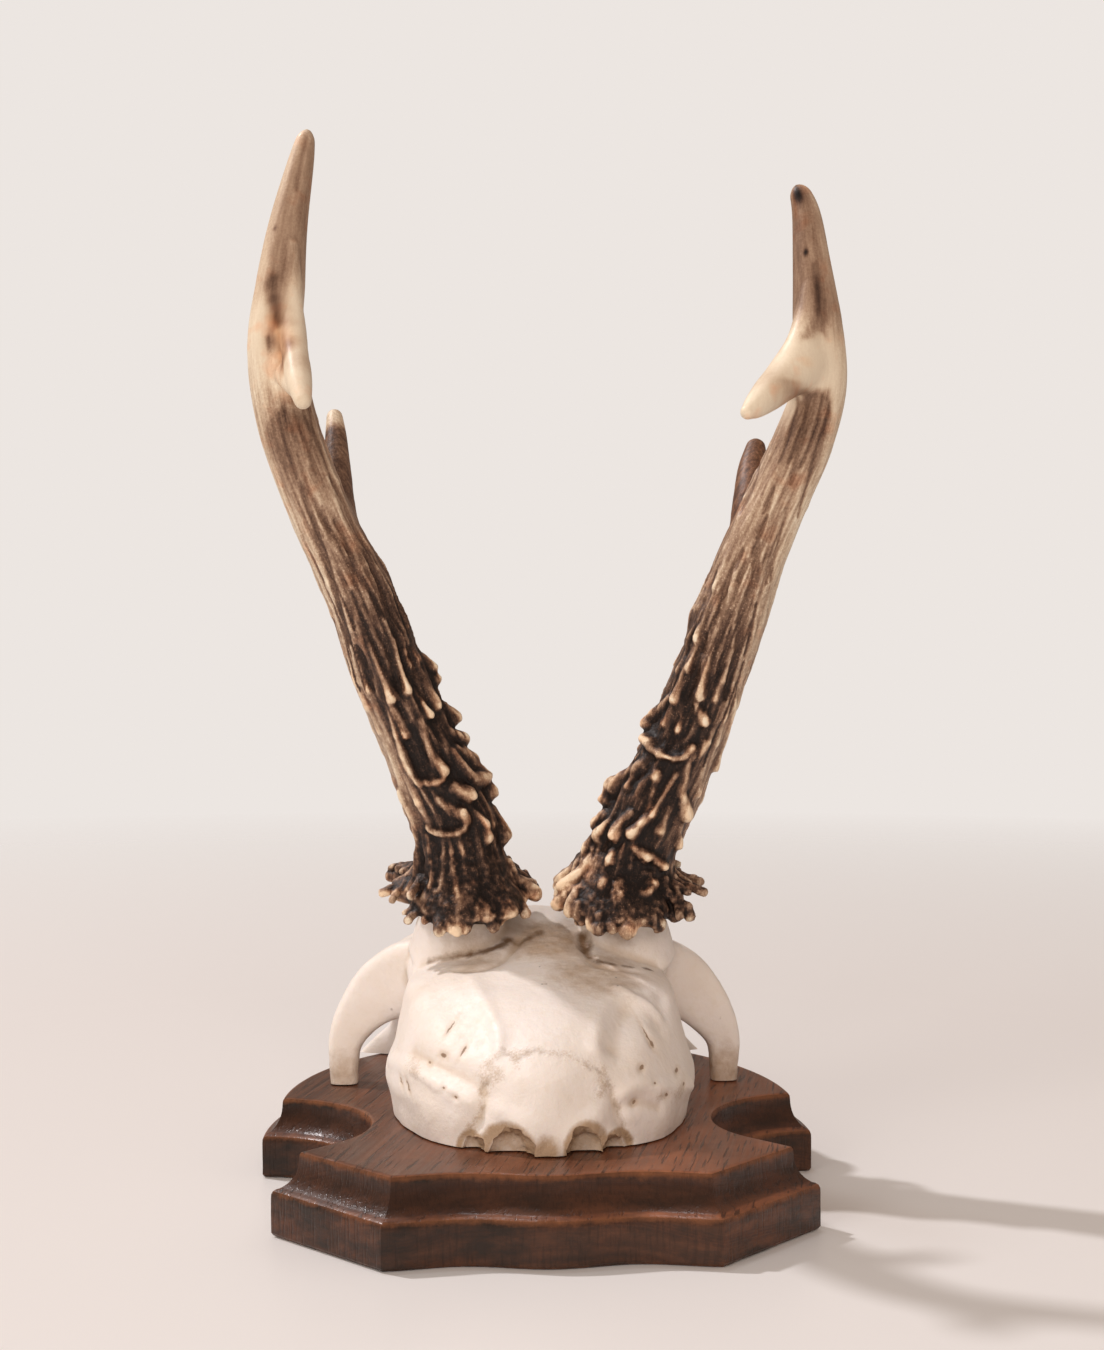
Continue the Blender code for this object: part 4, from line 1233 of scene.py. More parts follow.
# Small pits seen from behind, with painted shade inside them and on their rims: X, Z, half length, half
# width and turn in degrees
HOLES = [
    (-20.4, 33, 0.52, 0.42, 0), (-23.2, 31, 0.22, 0.20, 0), (-18, 26.3, 0.36, 0.26, -30),
    (-20.3, 27.6, 0.24, 0.20, 0), (19.1, 31, 0.50, 0.42, 20), (17.2, 24.9, 0.44, 0.34, 60),
    (24.2, 25, 0.38, 0.34, 70), (27.2, 28.4, 0.42, 0.34, 80), (21.7, 27.9, 0.25, 0.20, 0),
    (28.6, 25.6, 0.36, 0.22, 80), (-19, 37.8, 1.40, 0.17, 51), (-16.4, 34.3, 1.10, 0.22, 54),
    (20.9, 35.8, 2.10, 0.16, -59), (21.8, 34.5, 0.80, 0.32, -59), (-29.1, 26.3, 0.75, 0.15, -71),
    (-27.6, 25.9, 1.05, 0.15, -69),
]
# Cracks seen from behind, as X and Z
CRACKS = [[(-27.2, 28.4), (-24.4, 27.6), (-22.4, 26.5), (-20.3, 26.9), (-18.0, 26.3)]]
# Ridges and hollows of the braincase: half width, height, then the places they run through
SKULL_FORMS = [
    (1.5, 0.65, [(-15, -12.9, 47), (-12.6, -23.9, 44), (-10.7, -31.1, 41), (-9.6, -35.7, 38.2),
     (-9.4, -39.2, 35.3)]),
    (5, -1, [(-21.2, -19, 42.6), (-17.5, -27, 41), (-14.8, -33, 38)]),
    (1.5, 1, [(15.8, -19, 45), (18.4, -21, 43.4), (21.1, -21.6, 42), (24.2, -21.8, 39)]),
    (1.8, 0.6, [(16, -20.7, 44.6), (11.8, -29.5, 41.5), (10.6, -35.5, 38), (9.9, -39.1, 35.1)]),
    (3.4, -1.7, [(17.2, -26, 41.4), (15.6, -31.4, 39), (14.2, -36.8, 35.6)]),
    (2.6, -0.7, [(25.5, -15, 42), (24, -25, 37.5)]),
    (1.8, 0.9, [(-31.2, -13.4, 28.4), (-25.2, -28.7, 28.8), (-19.1, -37.8, 26.8), (-14.2, -42.3, 25.6)]),
    (1.9, -1, [(-27, -24, 32), (-23.2, -30.5, 31.4), (-18.1, -36.9, 30.4), (-13.2, -41.6, 28.7)]),
    (1.6, 0.9, [(14.3, -41.7, 27), (18.6, -37.7, 27.8), (23, -33.7, 26.3), (30.1, -20.8, 24.1)]),
    (1.5, -0.8, [(15, -42, 24.6), (18.2, -39.6, 24.6), (22, -36.5, 23)]),
    (1.7, -1, [(-12.8, -43.4, 27), (-13.6, -43.8, 23), (-16.8, -43, 18.4)]),
    (1.7, -1.2, [(13.2, -42.6, 27), (13.9, -43.2, 23), (16.6, -43, 17.6)]),
    (6.5, 1.2, [(-0.4, -45, 29), (-0.6, -47, 23)]),
    (2.2, 0.9, [(-9, -46, 24.5), (-3.5, -48, 21), (-2.6, -48.8, 17)]),
    (2, 0.8, [(9.5, -46, 24), (4.5, -48, 20.5), (1.6, -48.8, 17)]), (5.5, 0.9, [(-23, -35, 21.5)]),
    (5.5, 0.9, [(23.5, -35, 20.5)]),
    (1.4, -1.1, [(-4, 5.3, 52), (-6.3, -0.7, 50), (-9.2, -6.3, 48.6), (-13.2, -8.4, 47.6),
     (-18, -7, 47)]),
    (1.4, -1.1, [(10, 6, 51.4), (10.7, 0, 49.8), (11.6, -6.5, 48.4), (15.3, -8.4, 47.6),
     (20.8, -7, 46.8)]),
    (2, 0.7, [(-27.5, 6, 44.5), (-29, -6, 43), (-29, -18, 39)]),
    (2, 0.7, [(27.5, 6, 44.5), (28.6, -6, 43), (28.6, -18, 39)]),
]
# Brown dirt: half width, strength, then the places it runs through
STAINS = [
    (1.4, 0.8, [(0.6, 7.7, 52.3), (-4, 4.2, 50), (-6.4, 5.1, 51)]),
    (1.5, 1.1, [(-6.4, 5.1, 51), (-9.1, 1.3, 49.8), (-12.1, 0.8, 49), (-14.9, 0.8, 48.3)]),
    (1.1, 0.75, [(-14.9, 0.8, 48.3), (-18.2, 1.9, 47.8), (-23.7, 3.9, 46.4)]),
    (1.9, 1.1, [(9.8, 7.2, 51), (10.5, 4.6, 49.6), (9.9, 1, 48.6)]),
    (1.3, 1, [(9.9, 1, 48.6), (12.8, -4.4, 47.4), (15.5, -4.9, 47)]),
    (0.9, 0.85, [(18.1, -4.9, 46.6), (20, -4.4, 46.3)]), (1.1, 1, [(23.1, -2.7, 45.6), (24, -2, 45.1)]),
    (0.35, 1.1, [(0.5, -19.1, 45.2), (0.6, -19.3, 45.1)]),
    (0.35, 1, [(-32.4, 18, 33.8), (-32.4, 18.2, 33.6)]), (0.4, 1, [(42, 18.8, 31.2), (42, 19, 31)]),
]
# Tan spongy bone and painted warm shade: reach, strength and place. The patches round and between the
# pedicles are partly painted shade, and the large one on the right of the roof is painted shade; the rest
# are tan bone.
TAN_AND_SHADE_PATCHES = [
    (10, 0.72, (-43.2, 20.5, 17.5)), (11, 0.85, (43.2, 20.5, 17.5)), (4.6, 1.2, (-0.8, -49, 17.2)),
    (2.6, 1, (-3.2, -49, 18.4)), (14, 0.95, (2, 3, 53)), (10, 0.75, (-14, -4, 52)),
    (10, 0.80, (16, -4, 52)), (5, 0.2, (-24, -33, 30)), (5, 0.25, (24, -32, 25)),
    (15, 0.80, (12, -13, 47)), (8, 0.45, (-16.5, 2, 51.5)), (7, 0.35, (20, 1, 50)),
]


def add_braincase(clay):
    """Flat rings, one above the other."""
    turn = full_turn(90)
    rings = []
    for z, half_width, back, front in dense(BRAINCASE_LEVELS, 60):
        y = (back + front) / 2 + (front - back) / 2 * np.sin(turn)
        rings.append(np.stack([half_width * np.cos(turn), y, np.full(len(turn), z)], axis=1))
    clay.add_rings(rings)


def add_forehead(clay):
    """Upright sections from the crest to the muzzle, each mirrored."""
    stacked = np.array([[(x, y, z) for x, z in half] for y, half in FOREHEAD_SECTIONS], float)
    along = dense(stacked.reshape(len(stacked), -1), 90).reshape(90, -1, 3)
    rings = []
    for half in along:
        fine = dense(half, 36)
        left = fine[:0:-1] * (-1, 1, 1)
        rings.append(np.concatenate([fine, left]))
    clay.add_rings(np.array(rings)[:, ::-1])


def add_orbit_bar(clay, sign):
    """The flattened bar behind an eye socket, down to its foot."""
    rows = dense(ORBIT_BAR, 50)
    path = rows[:, :3] * (sign, 1, 1)
    tangent = unit(np.gradient(path, axis=0))
    across = unit(np.cross(np.array([0, 1.0, 0]), tangent))
    thick = np.cross(tangent, across)
    turn = full_turn(40)
    square = BAR_SQUARENESS
    flat = (np.abs(np.cos(turn)) ** square + np.abs(np.sin(turn)) ** square) ** (-1 / square)
    rings = (path[:, None] + across[:, None] * (rows[:, 3, None] * flat * np.cos(turn))[..., None] * 0.96
             + thick[:, None] * (rows[:, 4, None] * flat * np.sin(turn))[..., None] * 0.92)
    clay.add_rings(rings)


def add_pedicle(clay, beam_rows):
    """The short post of bone under a burr, wider at its foot."""
    beam = Beam(beam_rows)
    depth, extra = dense(PEDICLE_FLARE, 24).T
    centre, _, axis, side, back = beam.read(np.zeros(1))
    turn = full_turn(48)
    circle = back * np.cos(turn)[:, None] + side * np.sin(turn)[:, None]
    rings = centre - axis * depth[:, None, None] + circle * (PEDICLE_RADIUS + extra)[:, None, None]
    clay.add_rings(rings[:, ::-1])


def wriggly(line, step, swing, seed):
    """A line with small side steps, as a seam between bones has."""
    line = np.asarray(line, float)
    gone = gone_along(line)
    stops = np.arange(0, gone[-1], step)
    base = np.stack([np.interp(stops, gone, line[:, k]) for k in range(2)], axis=1)
    along = unit(np.gradient(base, axis=0))
    chance = np.random.RandomState(seed)
    sway = swing * chance.uniform(-1.2, 1.2, len(stops))
    return base + np.stack([-along[:, 1], along[:, 0]], axis=1) * sway[:, None]


def sculpt_forms(skin):
    """Broad ridges, planes and hollows."""
    normals = skin.normals()
    push = np.zeros(len(skin.points))
    for width, height, places in SKULL_FORMS:
        line = np.array(places, float)
        if len(line) > 2:
            line = dense(line, 4 * len(line))
        elif len(line) == 1:
            line = np.vstack([line, line + 0.1])
        push += height * np.exp(-(from_line(skin.points, line) / width) ** 2)
    push += 0.30 * space_noise(skin.points, 9.0, 31) + 0.16 * space_noise(skin.points, 4.5, 32)
    skin.points = skin.points + normals * push[:, None]
    skin.soften(4)


def sculpt_marks(skin):
    """Seams, pits and cracks of the back of the head. Returns how dark, rough and far behind it is."""
    normals = skin.normals()
    points = skin.points
    flat = points[:, [0, 2]]
    behind = smoothstep(*BACK_STARTS_Y, points[:, 1]) * smoothstep(0.05, 0.3, -normals[:, 1])
    ragged = 1 + 0.5 * space_noise(points, 1.1, 34)
    push = 0.035 * space_noise(points, 1.2, 33)
    dark = np.zeros(len(points))
    rough = np.zeros(len(points))
    for line, seed in ((SEAM, 3), (SEAM_LEFT, 4), (SEAM_RIGHT, 5)):
        far = from_line(flat, wriggly(line, 0.55, 0.55, seed))
        band = from_line(flat, line) * ragged
        worn = np.clip(0.45 + 0.75 * space_noise(points, 2.4, seed), 0, 1)
        groove = np.exp(-(far / 0.30) ** 2) * worn * behind
        push -= 0.20 * groove
        dark = np.maximum(dark, 0.30 * groove)
        rough = np.maximum(rough, 0.55 * np.exp(-(band / 1.0) ** 2) * behind)
    for x, z, size in ROUGH_SPOTS:
        far = np.hypot(flat[:, 0] - x, flat[:, 1] - z) * ragged
        rough = np.maximum(rough, np.exp(-(far / size) ** 2) * behind)
    for x, z, long, wide, degrees in HOLES:
        pit = np.exp(-(pit_distance(flat, x, z, long + 0.35, wide + 0.35, degrees)) ** 2) * behind
        push -= (0.25 + 0.5 * wide) * pit
    for line in CRACKS:
        crack = np.exp(-(from_line(flat, line) * ragged / 0.45) ** 2) * behind
        push -= 0.16 * crack
        dark = np.maximum(dark, 0.16 * crack)
    push += 0.16 * rough * space_noise(points, 0.95, 35)
    skin.points = points + normals * push[:, None]
    return dark, rough, behind


def pit_distance(flat, x, z, long, wide, degrees):
    """Distance from the middle of an oval pit, where its rim is at one."""
    turn = math.radians(degrees)
    along = (flat[:, 0] - x) * math.cos(turn) + (flat[:, 1] - z) * math.sin(turn)
    across = (flat[:, 1] - z) * math.cos(turn) - (flat[:, 0] - x) * math.sin(turn)
    return np.hypot(along / long, across / wide)


def near_lines(points, rows):
    """Greatest strength of soft-edged lines at each point."""
    total = np.zeros(len(points))
    for width, strength, places in rows:
        total = np.maximum(total, strength * np.exp(-(from_line(points, places) / width) ** 2))
    return total


def spongy_of(points):
    """How tan and rough the bone is, at the feet, the crest and in the hollows of the lower edge, with
    painted warm shade round the pedicles and on the roof.
    """
    total = np.zeros(len(points))
    for reach, strength, place in TAN_AND_SHADE_PATCHES:
        far = np.linalg.norm(points - place, axis=1)
        total = np.maximum(total, strength * (1 - smoothstep(0.35, 1.1, far / reach)))
    for x, _, half_width, rise in OCCIPITAL_HOLLOWS:
        edge = np.hypot((points[:, 0] - x) / half_width, (points[:, 2] - SEAT_Z) / rise)
        inside = (1 - smoothstep(1.0, 1.3, edge)) * (points[:, 1] < HOLLOWS_BEHIND_Y)
        total = np.maximum(total, inside * (0.75 + 0.45 * smoothstep(0.6, 0.75, edge)))
    return total


def shell(name, rings):
    """A closed object through rings, used as a cutter."""
    clay = Clay()
    clay.add_rings(rings)
    return clay.object(name)


def subtract(obj, cutter):
    """Cut one closed object out of another, and remove it."""
    boolean = obj.modifiers.new(cutter.name, "BOOLEAN")
    boolean.operation = "DIFFERENCE"
    boolean.solver = "MANIFOLD"
    boolean.object = cutter
    apply_modifiers(obj)
    bpy.data.objects.remove(cutter, do_unlink=True)


def underside_cutter():
    """A slab that trims the lower edge flat."""
    ring = np.array([(-80, -80, 0), (80, -80, 0), (80, 100, 0), (-80, 100, 0)], float)
    return shell("underside", [ring - (0, 0, 5), ring + (0, 0, SEAT_Z)])


def cavity_cutter():
    """The room inside the braincase."""
    turn = full_turn(60)
    rings = []
    for z, half_width, back, _ in dense(BRAINCASE_LEVELS[:-2], 24):
        back, half_width = back + BRAINCASE_WALL, half_width - BRAINCASE_WALL
        level = max(z - BRAINCASE_WALL, 6.0)
        y = (back + CAVITY_FRONT_Y) / 2 + (CAVITY_FRONT_Y - back) / 2 * np.sin(turn)
        rings.append(np.stack([half_width * np.cos(turn), y, np.full(60, level)], axis=1))
    return shell("brain_cavity", rings)


def hollow_cutter(x, y, half_width, rise):
    """A shallow bay with a bevelled rim."""
    turn = full_turn(72)
    ragged = 1 + 0.05 * np.cos(3 * turn + x) + 0.035 * np.cos(8 * turn + 2 * x) + 0.02 * np.cos(17 * turn)
    rings = []
    for inward, share in HOLLOW_PROFILE:
        size = share * (ragged if share == 1.0 else 2 - ragged)
        rings.append(np.stack([x + half_width * size * np.cos(turn), np.full(72, y + inward),
                               SEAT_Z + rise * size * np.sin(turn)], axis=1))
    return shell("hollow", np.array(rings)[:, ::-1])


def skull_cap():
    """The skull cap: its bones fused, sculpted, hollowed and shaded."""
    clay = Clay()
    add_braincase(clay)
    add_forehead(clay)
    for sign in (-1, 1):
        add_orbit_bar(clay, sign)
    for rows in (LEFT_BEAM, RIGHT_BEAM):
        add_pedicle(clay, rows)
    obj = clay.fused("skull", BONE_VOXEL)
    skin = Skin(obj)
    skin.soften(BONE_SOFTENING)
    sculpt_forms(skin)
    dark, seam, behind = sculpt_marks(skin)
    skin.store(dark=dark, behind=behind, seam=seam)
    skin.write()
    subtract(obj, underside_cutter())
    subtract(obj, cavity_cutter())
    for row in OCCIPITAL_HOLLOWS:
        subtract(obj, hollow_cutter(*row))
    skin = Skin(obj)
    normals = skin.normals()
    spongy = spongy_of(skin.points)
    skin.store(stain=near_lines(skin.points, STAINS), spongy=spongy, relief=skin.relief(30, normals))
    grain = space_noise(skin.points, 1.3, 36) + 0.6 * space_noise(skin.points, 0.8, 37)
    lifted = skin.points[:, 2] > SEAT_Z + 0.05
    skin.points += normals * (0.26 * np.clip(spongy - 0.40, 0, 1) * grain * lifted)[:, None]
    skin.finish()
    obj.data.set_sharp_from_angle(angle=math.radians(BONE_EDGE_DEG))
    obj.data.materials.clear()
    obj.data.materials.append(bone_material())
    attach(obj, "root")
    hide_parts("skull_cap")


def pit_shade_masks(nodes, place):
    """Painted shade: crisp inside the small pits and soft on their rims."""
    sway = nodes.add("ShaderNodeTexNoise", {"Vector": place, "Scale": 900.0, "Detail": 2.0}, "Color")
    sway = nodes.vectors("SUBTRACT", {0: sway, 1: (0.5, 0.5, 0.5)})
    sway = nodes.vectors("SCALE", {0: sway, "Scale": 0.0007})
    place = nodes.vectors("ADD", {0: place, 1: sway})
    nearest = None
    for x, z, long, wide, degrees in HOLES:
        own = nodes.add("ShaderNodeMapping", {
            "Vector": place, "Location": (x * MM, 0.0, z * MM), "Scale": (long * MM, 1000.0, wide * MM),
            "Rotation": (0.0, -math.radians(degrees), 0.0)}, vector_type="TEXTURE")
        far = nodes.vectors("LENGTH", {0: own}, "Value")
        nearest = far if nearest is None else nodes.maths("MINIMUM", nearest, far)
    behind = nodes.attribute("behind")
    return nearest.between(1.15, 0.7) * behind, nearest.between(3.2, 1.0) * behind


def rare_specks(nodes, place):
    """Small dark specks, one in a few cells."""
    distance = nodes.add("ShaderNodeTexVoronoi", {"Vector": place, "Scale": 190.0}, "Distance")
    chosen = nodes.add("ShaderNodeSeparateColor", {0: distance.other("Color")})
    return distance.between(0.03, 0.06, 0.75, 0.0) * chosen.between(0.93, 0.95)


def bone_material():
    """Bleached bone with tan, worn, stained and pitted places."""
    made, nodes = new_material("weathered_bone")
    place = nodes.place()
    fine = place.noise(460.0, 4.0, 0.65)
    tiny = place.noise(2100.0, 3.0, 0.65)
    clouds = place.noise(60.0, 4.0, 0.6).between(0.35, 0.72)
    colour = nodes.mixed(clouds, (0.86, 0.79, 0.735), (0.82, 0.73, 0.64))
    colour = colour.toward((0.74, 0.635, 0.50), fine.between(0.52, 0.8, 0.0, 0.35))
    low = nodes.attribute("relief").between(-0.05, -0.35)
    colour = colour.toward((0.56, 0.42, 0.28), low * 0.45)
    spongy = nodes.attribute("spongy")
    tan = spongy + (place.noise(330.0, 4.0, 0.7) - 0.5) * 1.1
    # Tan bone, and painted warm shade round the pedicles and on the roof
    colour = colour.toward((0.43, 0.285, 0.165), tan.between(0.25, 1.15) * 0.9)
    seam = nodes.attribute("seam")
    worn = (seam + (tiny - 0.5) * 2.2).between(0.35, 1.2) * seam.between(0.05, 0.4)
    colour = colour.toward((0.46, 0.32, 0.19), worn * 0.6)
    stain = nodes.attribute("stain")
    ragged = stain + (place.noise(380.0, 4.0, 0.7) - 0.5) * 1.5
    dirt = ragged.between(0.30, 1.05) * stain.between(0.02, 0.2)
    colour = colour.toward((0.15, 0.075, 0.028), dirt * 0.92)
    colour = colour.toward((0.17, 0.095, 0.045), nodes.attribute("dark"))
    pit_shade, pit_rim_shade = pit_shade_masks(nodes, place)
    # Painted shade on the rims and inside the small pits
    colour = colour.toward((0.56, 0.40, 0.25), pit_rim_shade * 0.34)
    colour = colour.toward((0.22, 0.125, 0.065), pit_shade * 0.80)
    colour = colour.toward((0.10, 0.06, 0.04), rare_specks(nodes, place))
    height = place.noise(900.0, 3.0, 0.6) + fine * 1.5 + tiny * (seam * 2.2 + spongy * 1.6)
    nodes.change("Principled BSDF", {
        "Base Color": colour,
        "Roughness": fine.between(0.3, 0.7, 0.42, 0.62),
        "Subsurface Weight": 0.10,
        "Subsurface Radius": (1.0, 0.7, 0.45),
        "Subsurface Scale": 0.0015,
        "Normal": nodes.bump(height, 0.5, 0.0002),
    })
    return made


# ---- plaque ----
NEAR_EDGE_Y = -66.0
NEAR_EDGE_WAVE = 1.25
NEAR_EDGE_WAVE_PERIOD = 33.0
NEAR_CORNER_X = 31.6
EAR_TIP = (53.9, -42.7)
NOTCH_CENTRE = (60.5, -18.5)
NOTCH_RADIUS = 20.8
NOTCH_START_DEG = 218.4
NOTCH_END_DEG = 91.4
FAR_END_CENTRE_Y = 3.0
FAR_END_HALF_WIDTH = 60.0
FAR_END_LENGTH = 75.0
OUTLINE_STEP = 0.8
RUN_EXTENSION = 9.0
# Inset from the base outline, height and how rubbed the stain is, up the moulded edge
EDGE_PROFILE = [
    (0.9, 0, 0.3), (0.35, 0.25, 0.6), (0, 0.8, 0.4), (0, 2, 0.12), (0, 3.3, 0.05), (0, 4.6, 0.05),
    (0, 6, 0.1), (0, 7.4, 0.2), (0.04, 8.3, 0.7), (0.3, 8.9, 1), (0.75, 9.25, 0.7), (1.3, 9.45, 0.1),
    (1.75, 9.75, 0), (2.35, 10.3, 0), (2.9, 11, 0), (3.35, 11.8, 0.05), (3.7, 12.7, 0.1),
    (3.9, 13.6, 0.2), (4, 14.4, 0.3), (4.05, 15.3, 0.6), (4.12, 15.95, 1), (4.35, 16.35, 1),
    (4.7, 16.5, 0.8), (5.6, 16.5, 0.15),
]
COVE_FROM_Z = 9.6
COVE_TO_Z = 14.8
WOOD_EDGE_DEG = 28
GRAIN_LEAN_DEG = 13.0
RING_CENTRE = (0.02, -0.11)  # X and Z of the pith, in metres


def outline_runs():
    """The runs of the right half of the base outline, from the middle of the near edge."""
    x = np.linspace(0, NEAR_CORNER_X, 50)
    wave = NEAR_EDGE_WAVE * np.cos(2 * math.pi * x / NEAR_EDGE_WAVE_PERIOD)
    near = np.stack([x, NEAR_EDGE_Y - wave], axis=1)
    angle = np.radians(np.linspace(NOTCH_START_DEG, NOTCH_END_DEG, 70))
    notch = np.array(NOTCH_CENTRE) + NOTCH_RADIUS * np.stack([np.cos(angle), np.sin(angle)], axis=1)
    angle = np.radians(np.linspace(0, 90, 110))
    y = FAR_END_CENTRE_Y + FAR_END_LENGTH * np.sin(angle)
    far = np.vstack([notch[-1:], np.stack([FAR_END_HALF_WIDTH * np.cos(angle), y], axis=1)])
    return [near, np.array([near[-1], EAR_TIP]), np.array([EAR_TIP, notch[0]]), notch, far]


def offset_run(run, distance):
    """A run moved inwards along its own normals, and lengthened at both ends."""
    along = unit(np.gradient(run, axis=0))
    moved = run + np.stack([-along[:, 1], along[:, 0]], axis=1) * distance
    return np.vstack([moved[0] - along[0] * RUN_EXTENSION, moved, moved[-1] + along[-1] * RUN_EXTENSION])


def crossing(first, second, corner):
    """Where two lines cross nearest to a corner, and the stretch of each that the crossing is on."""
    a, c = first[:-1, None], second[None, :-1]
    r, s = first[1:, None] - a, second[None, 1:] - c
    area = r[..., 0] * s[..., 1] - r[..., 1] * s[..., 0]
    area = np.where(np.abs(area) < 1e-12, 1e-12, area)
    gap = c - a
    t = (gap[..., 0] * s[..., 1] - gap[..., 1] * s[..., 0]) / area
    u = (gap[..., 0] * r[..., 1] - gap[..., 1] * r[..., 0]) / area
    place = a + r * t[..., None]
    far = np.linalg.norm(place - corner, axis=-1)
    far = np.where((t >= 0) & (t <= 1) & (u >= 0) & (u <= 1), far, 1e9)
    i, j = np.unravel_index(far.argmin(), far.shape)
    return place[i, j], i, j


def inset(distance):
    """The whole base outline moved inwards, anticlockwise, always with the same number of points."""
    runs = outline_runs()
    moved = [offset_run(run, distance) for run in runs]
    starts = [1] + [0] * (len(runs) - 1)
    stops = [0] * (len(runs) - 1) + [len(moved[-1]) - 1]
    corners = [moved[0][1]]
    for k in range(len(runs) - 1):
        place, i, j = crossing(moved[k], moved[k + 1], runs[k][-1])
        stops[k], starts[k + 1] = i + 1, j + 1
        corners.append(place)
    corners.append(moved[-1][-2])
    half = []
    for k, run in enumerate(runs):
        kept = np.vstack([corners[k], moved[k][starts[k]:stops[k]], corners[k + 1]])
        gone = gone_along(kept)
        length = np.linalg.norm(np.diff(run, axis=0), axis=1).sum()
        stations = np.linspace(0, gone[-1], max(2, round(length / OUTLINE_STEP) + 1))[:-1]
        half.append(np.stack([np.interp(stations, gone, kept[:, axis]) for axis in (0, 1)], axis=1))
    half = np.vstack([*half, corners[-1]])
    half[0, 0] = half[-1, 0] = 0.0
    return np.vstack([half, half[-2:0:-1] * (-1, 1)])


def plaque():
    """The plaque: rings up its moulded edge, closed by two flat faces."""
    flats = [inset(distance) for distance, _, _ in EDGE_PROFILE]
    count = len(flats[0])
    rings = [np.column_stack([flat, np.full(count, row[1])]) for flat, row in zip(flats, EDGE_PROFILE)]
    points = np.concatenate(rings)
    rubbed = np.repeat([row[2] for row in EDGE_PROFILE], count)
    level = np.repeat(np.arange(len(EDGE_PROFILE)), count)
    free = (level > 0) & (level < len(EDGE_PROFILE) - 2)
    dent = 0.10 * space_noise(points, 7.0, 51) + 0.06 * space_noise(points, 2.6, 52)
    points[:, :2] -= unit(points[:, :2] - (0, 5)) * (np.maximum(dent, 0) * free)[:, None]
    faces = []
    for i in range(len(EDGE_PROFILE) - 1):
        a = i * count + np.arange(count)
        b = i * count + (np.arange(count) + 1) % count
        faces += np.stack([a, b, b + count, a + count], axis=1).tolist()
    faces.append(list(range(count))[::-1])
    last = (len(EDGE_PROFILE) - 1) * count
    faces.append(list(range(last, last + count)))
    data = bpy.data.meshes.new("shield")
    data.from_pydata((points * MM).tolist(), [], faces)
    obj = linked("shield", data)
    smooth = np.ones(len(data.polygons), bool)
    smooth[-2:] = False
    data.polygons.foreach_set("use_smooth", smooth)
    data.set_sharp_from_angle(angle=math.radians(WOOD_EDGE_DEG))
    heights = points[:, 2]
    in_cove = (heights > COVE_FROM_Z) & (heights < COVE_TO_Z)
    for name, values in (("wear", rubbed), ("cove", in_cove)):
        data.attributes.new(name, "FLOAT", "POINT").data.foreach_set("value", values.astype(np.float32))
    obj.data.materials.append(wood_material())
    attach(obj, "root")
    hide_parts("plaque")


def growth_rings(nodes, grain):
    """Pale to dark rings round the pith, which sway along the grain."""
    x, _, z = nodes.parts(grain)
    across = x - RING_CENTRE[0]
    up = z - RING_CENTRE[1]
    sway = grain.stretched((1.0, 0.16, 1.0)).noise(34.0, 2.0, 0.5)
    radius = nodes.maths("SQRT", across * across + up * up) + sway * 0.006
    inputs = {"W": radius * 430.0, "Scale": 1.0, "Detail": 4.0, "Roughness": 0.65}
    return nodes.add("ShaderNodeTexNoise", inputs, noise_dimensions="1D").between(0.36, 0.64)


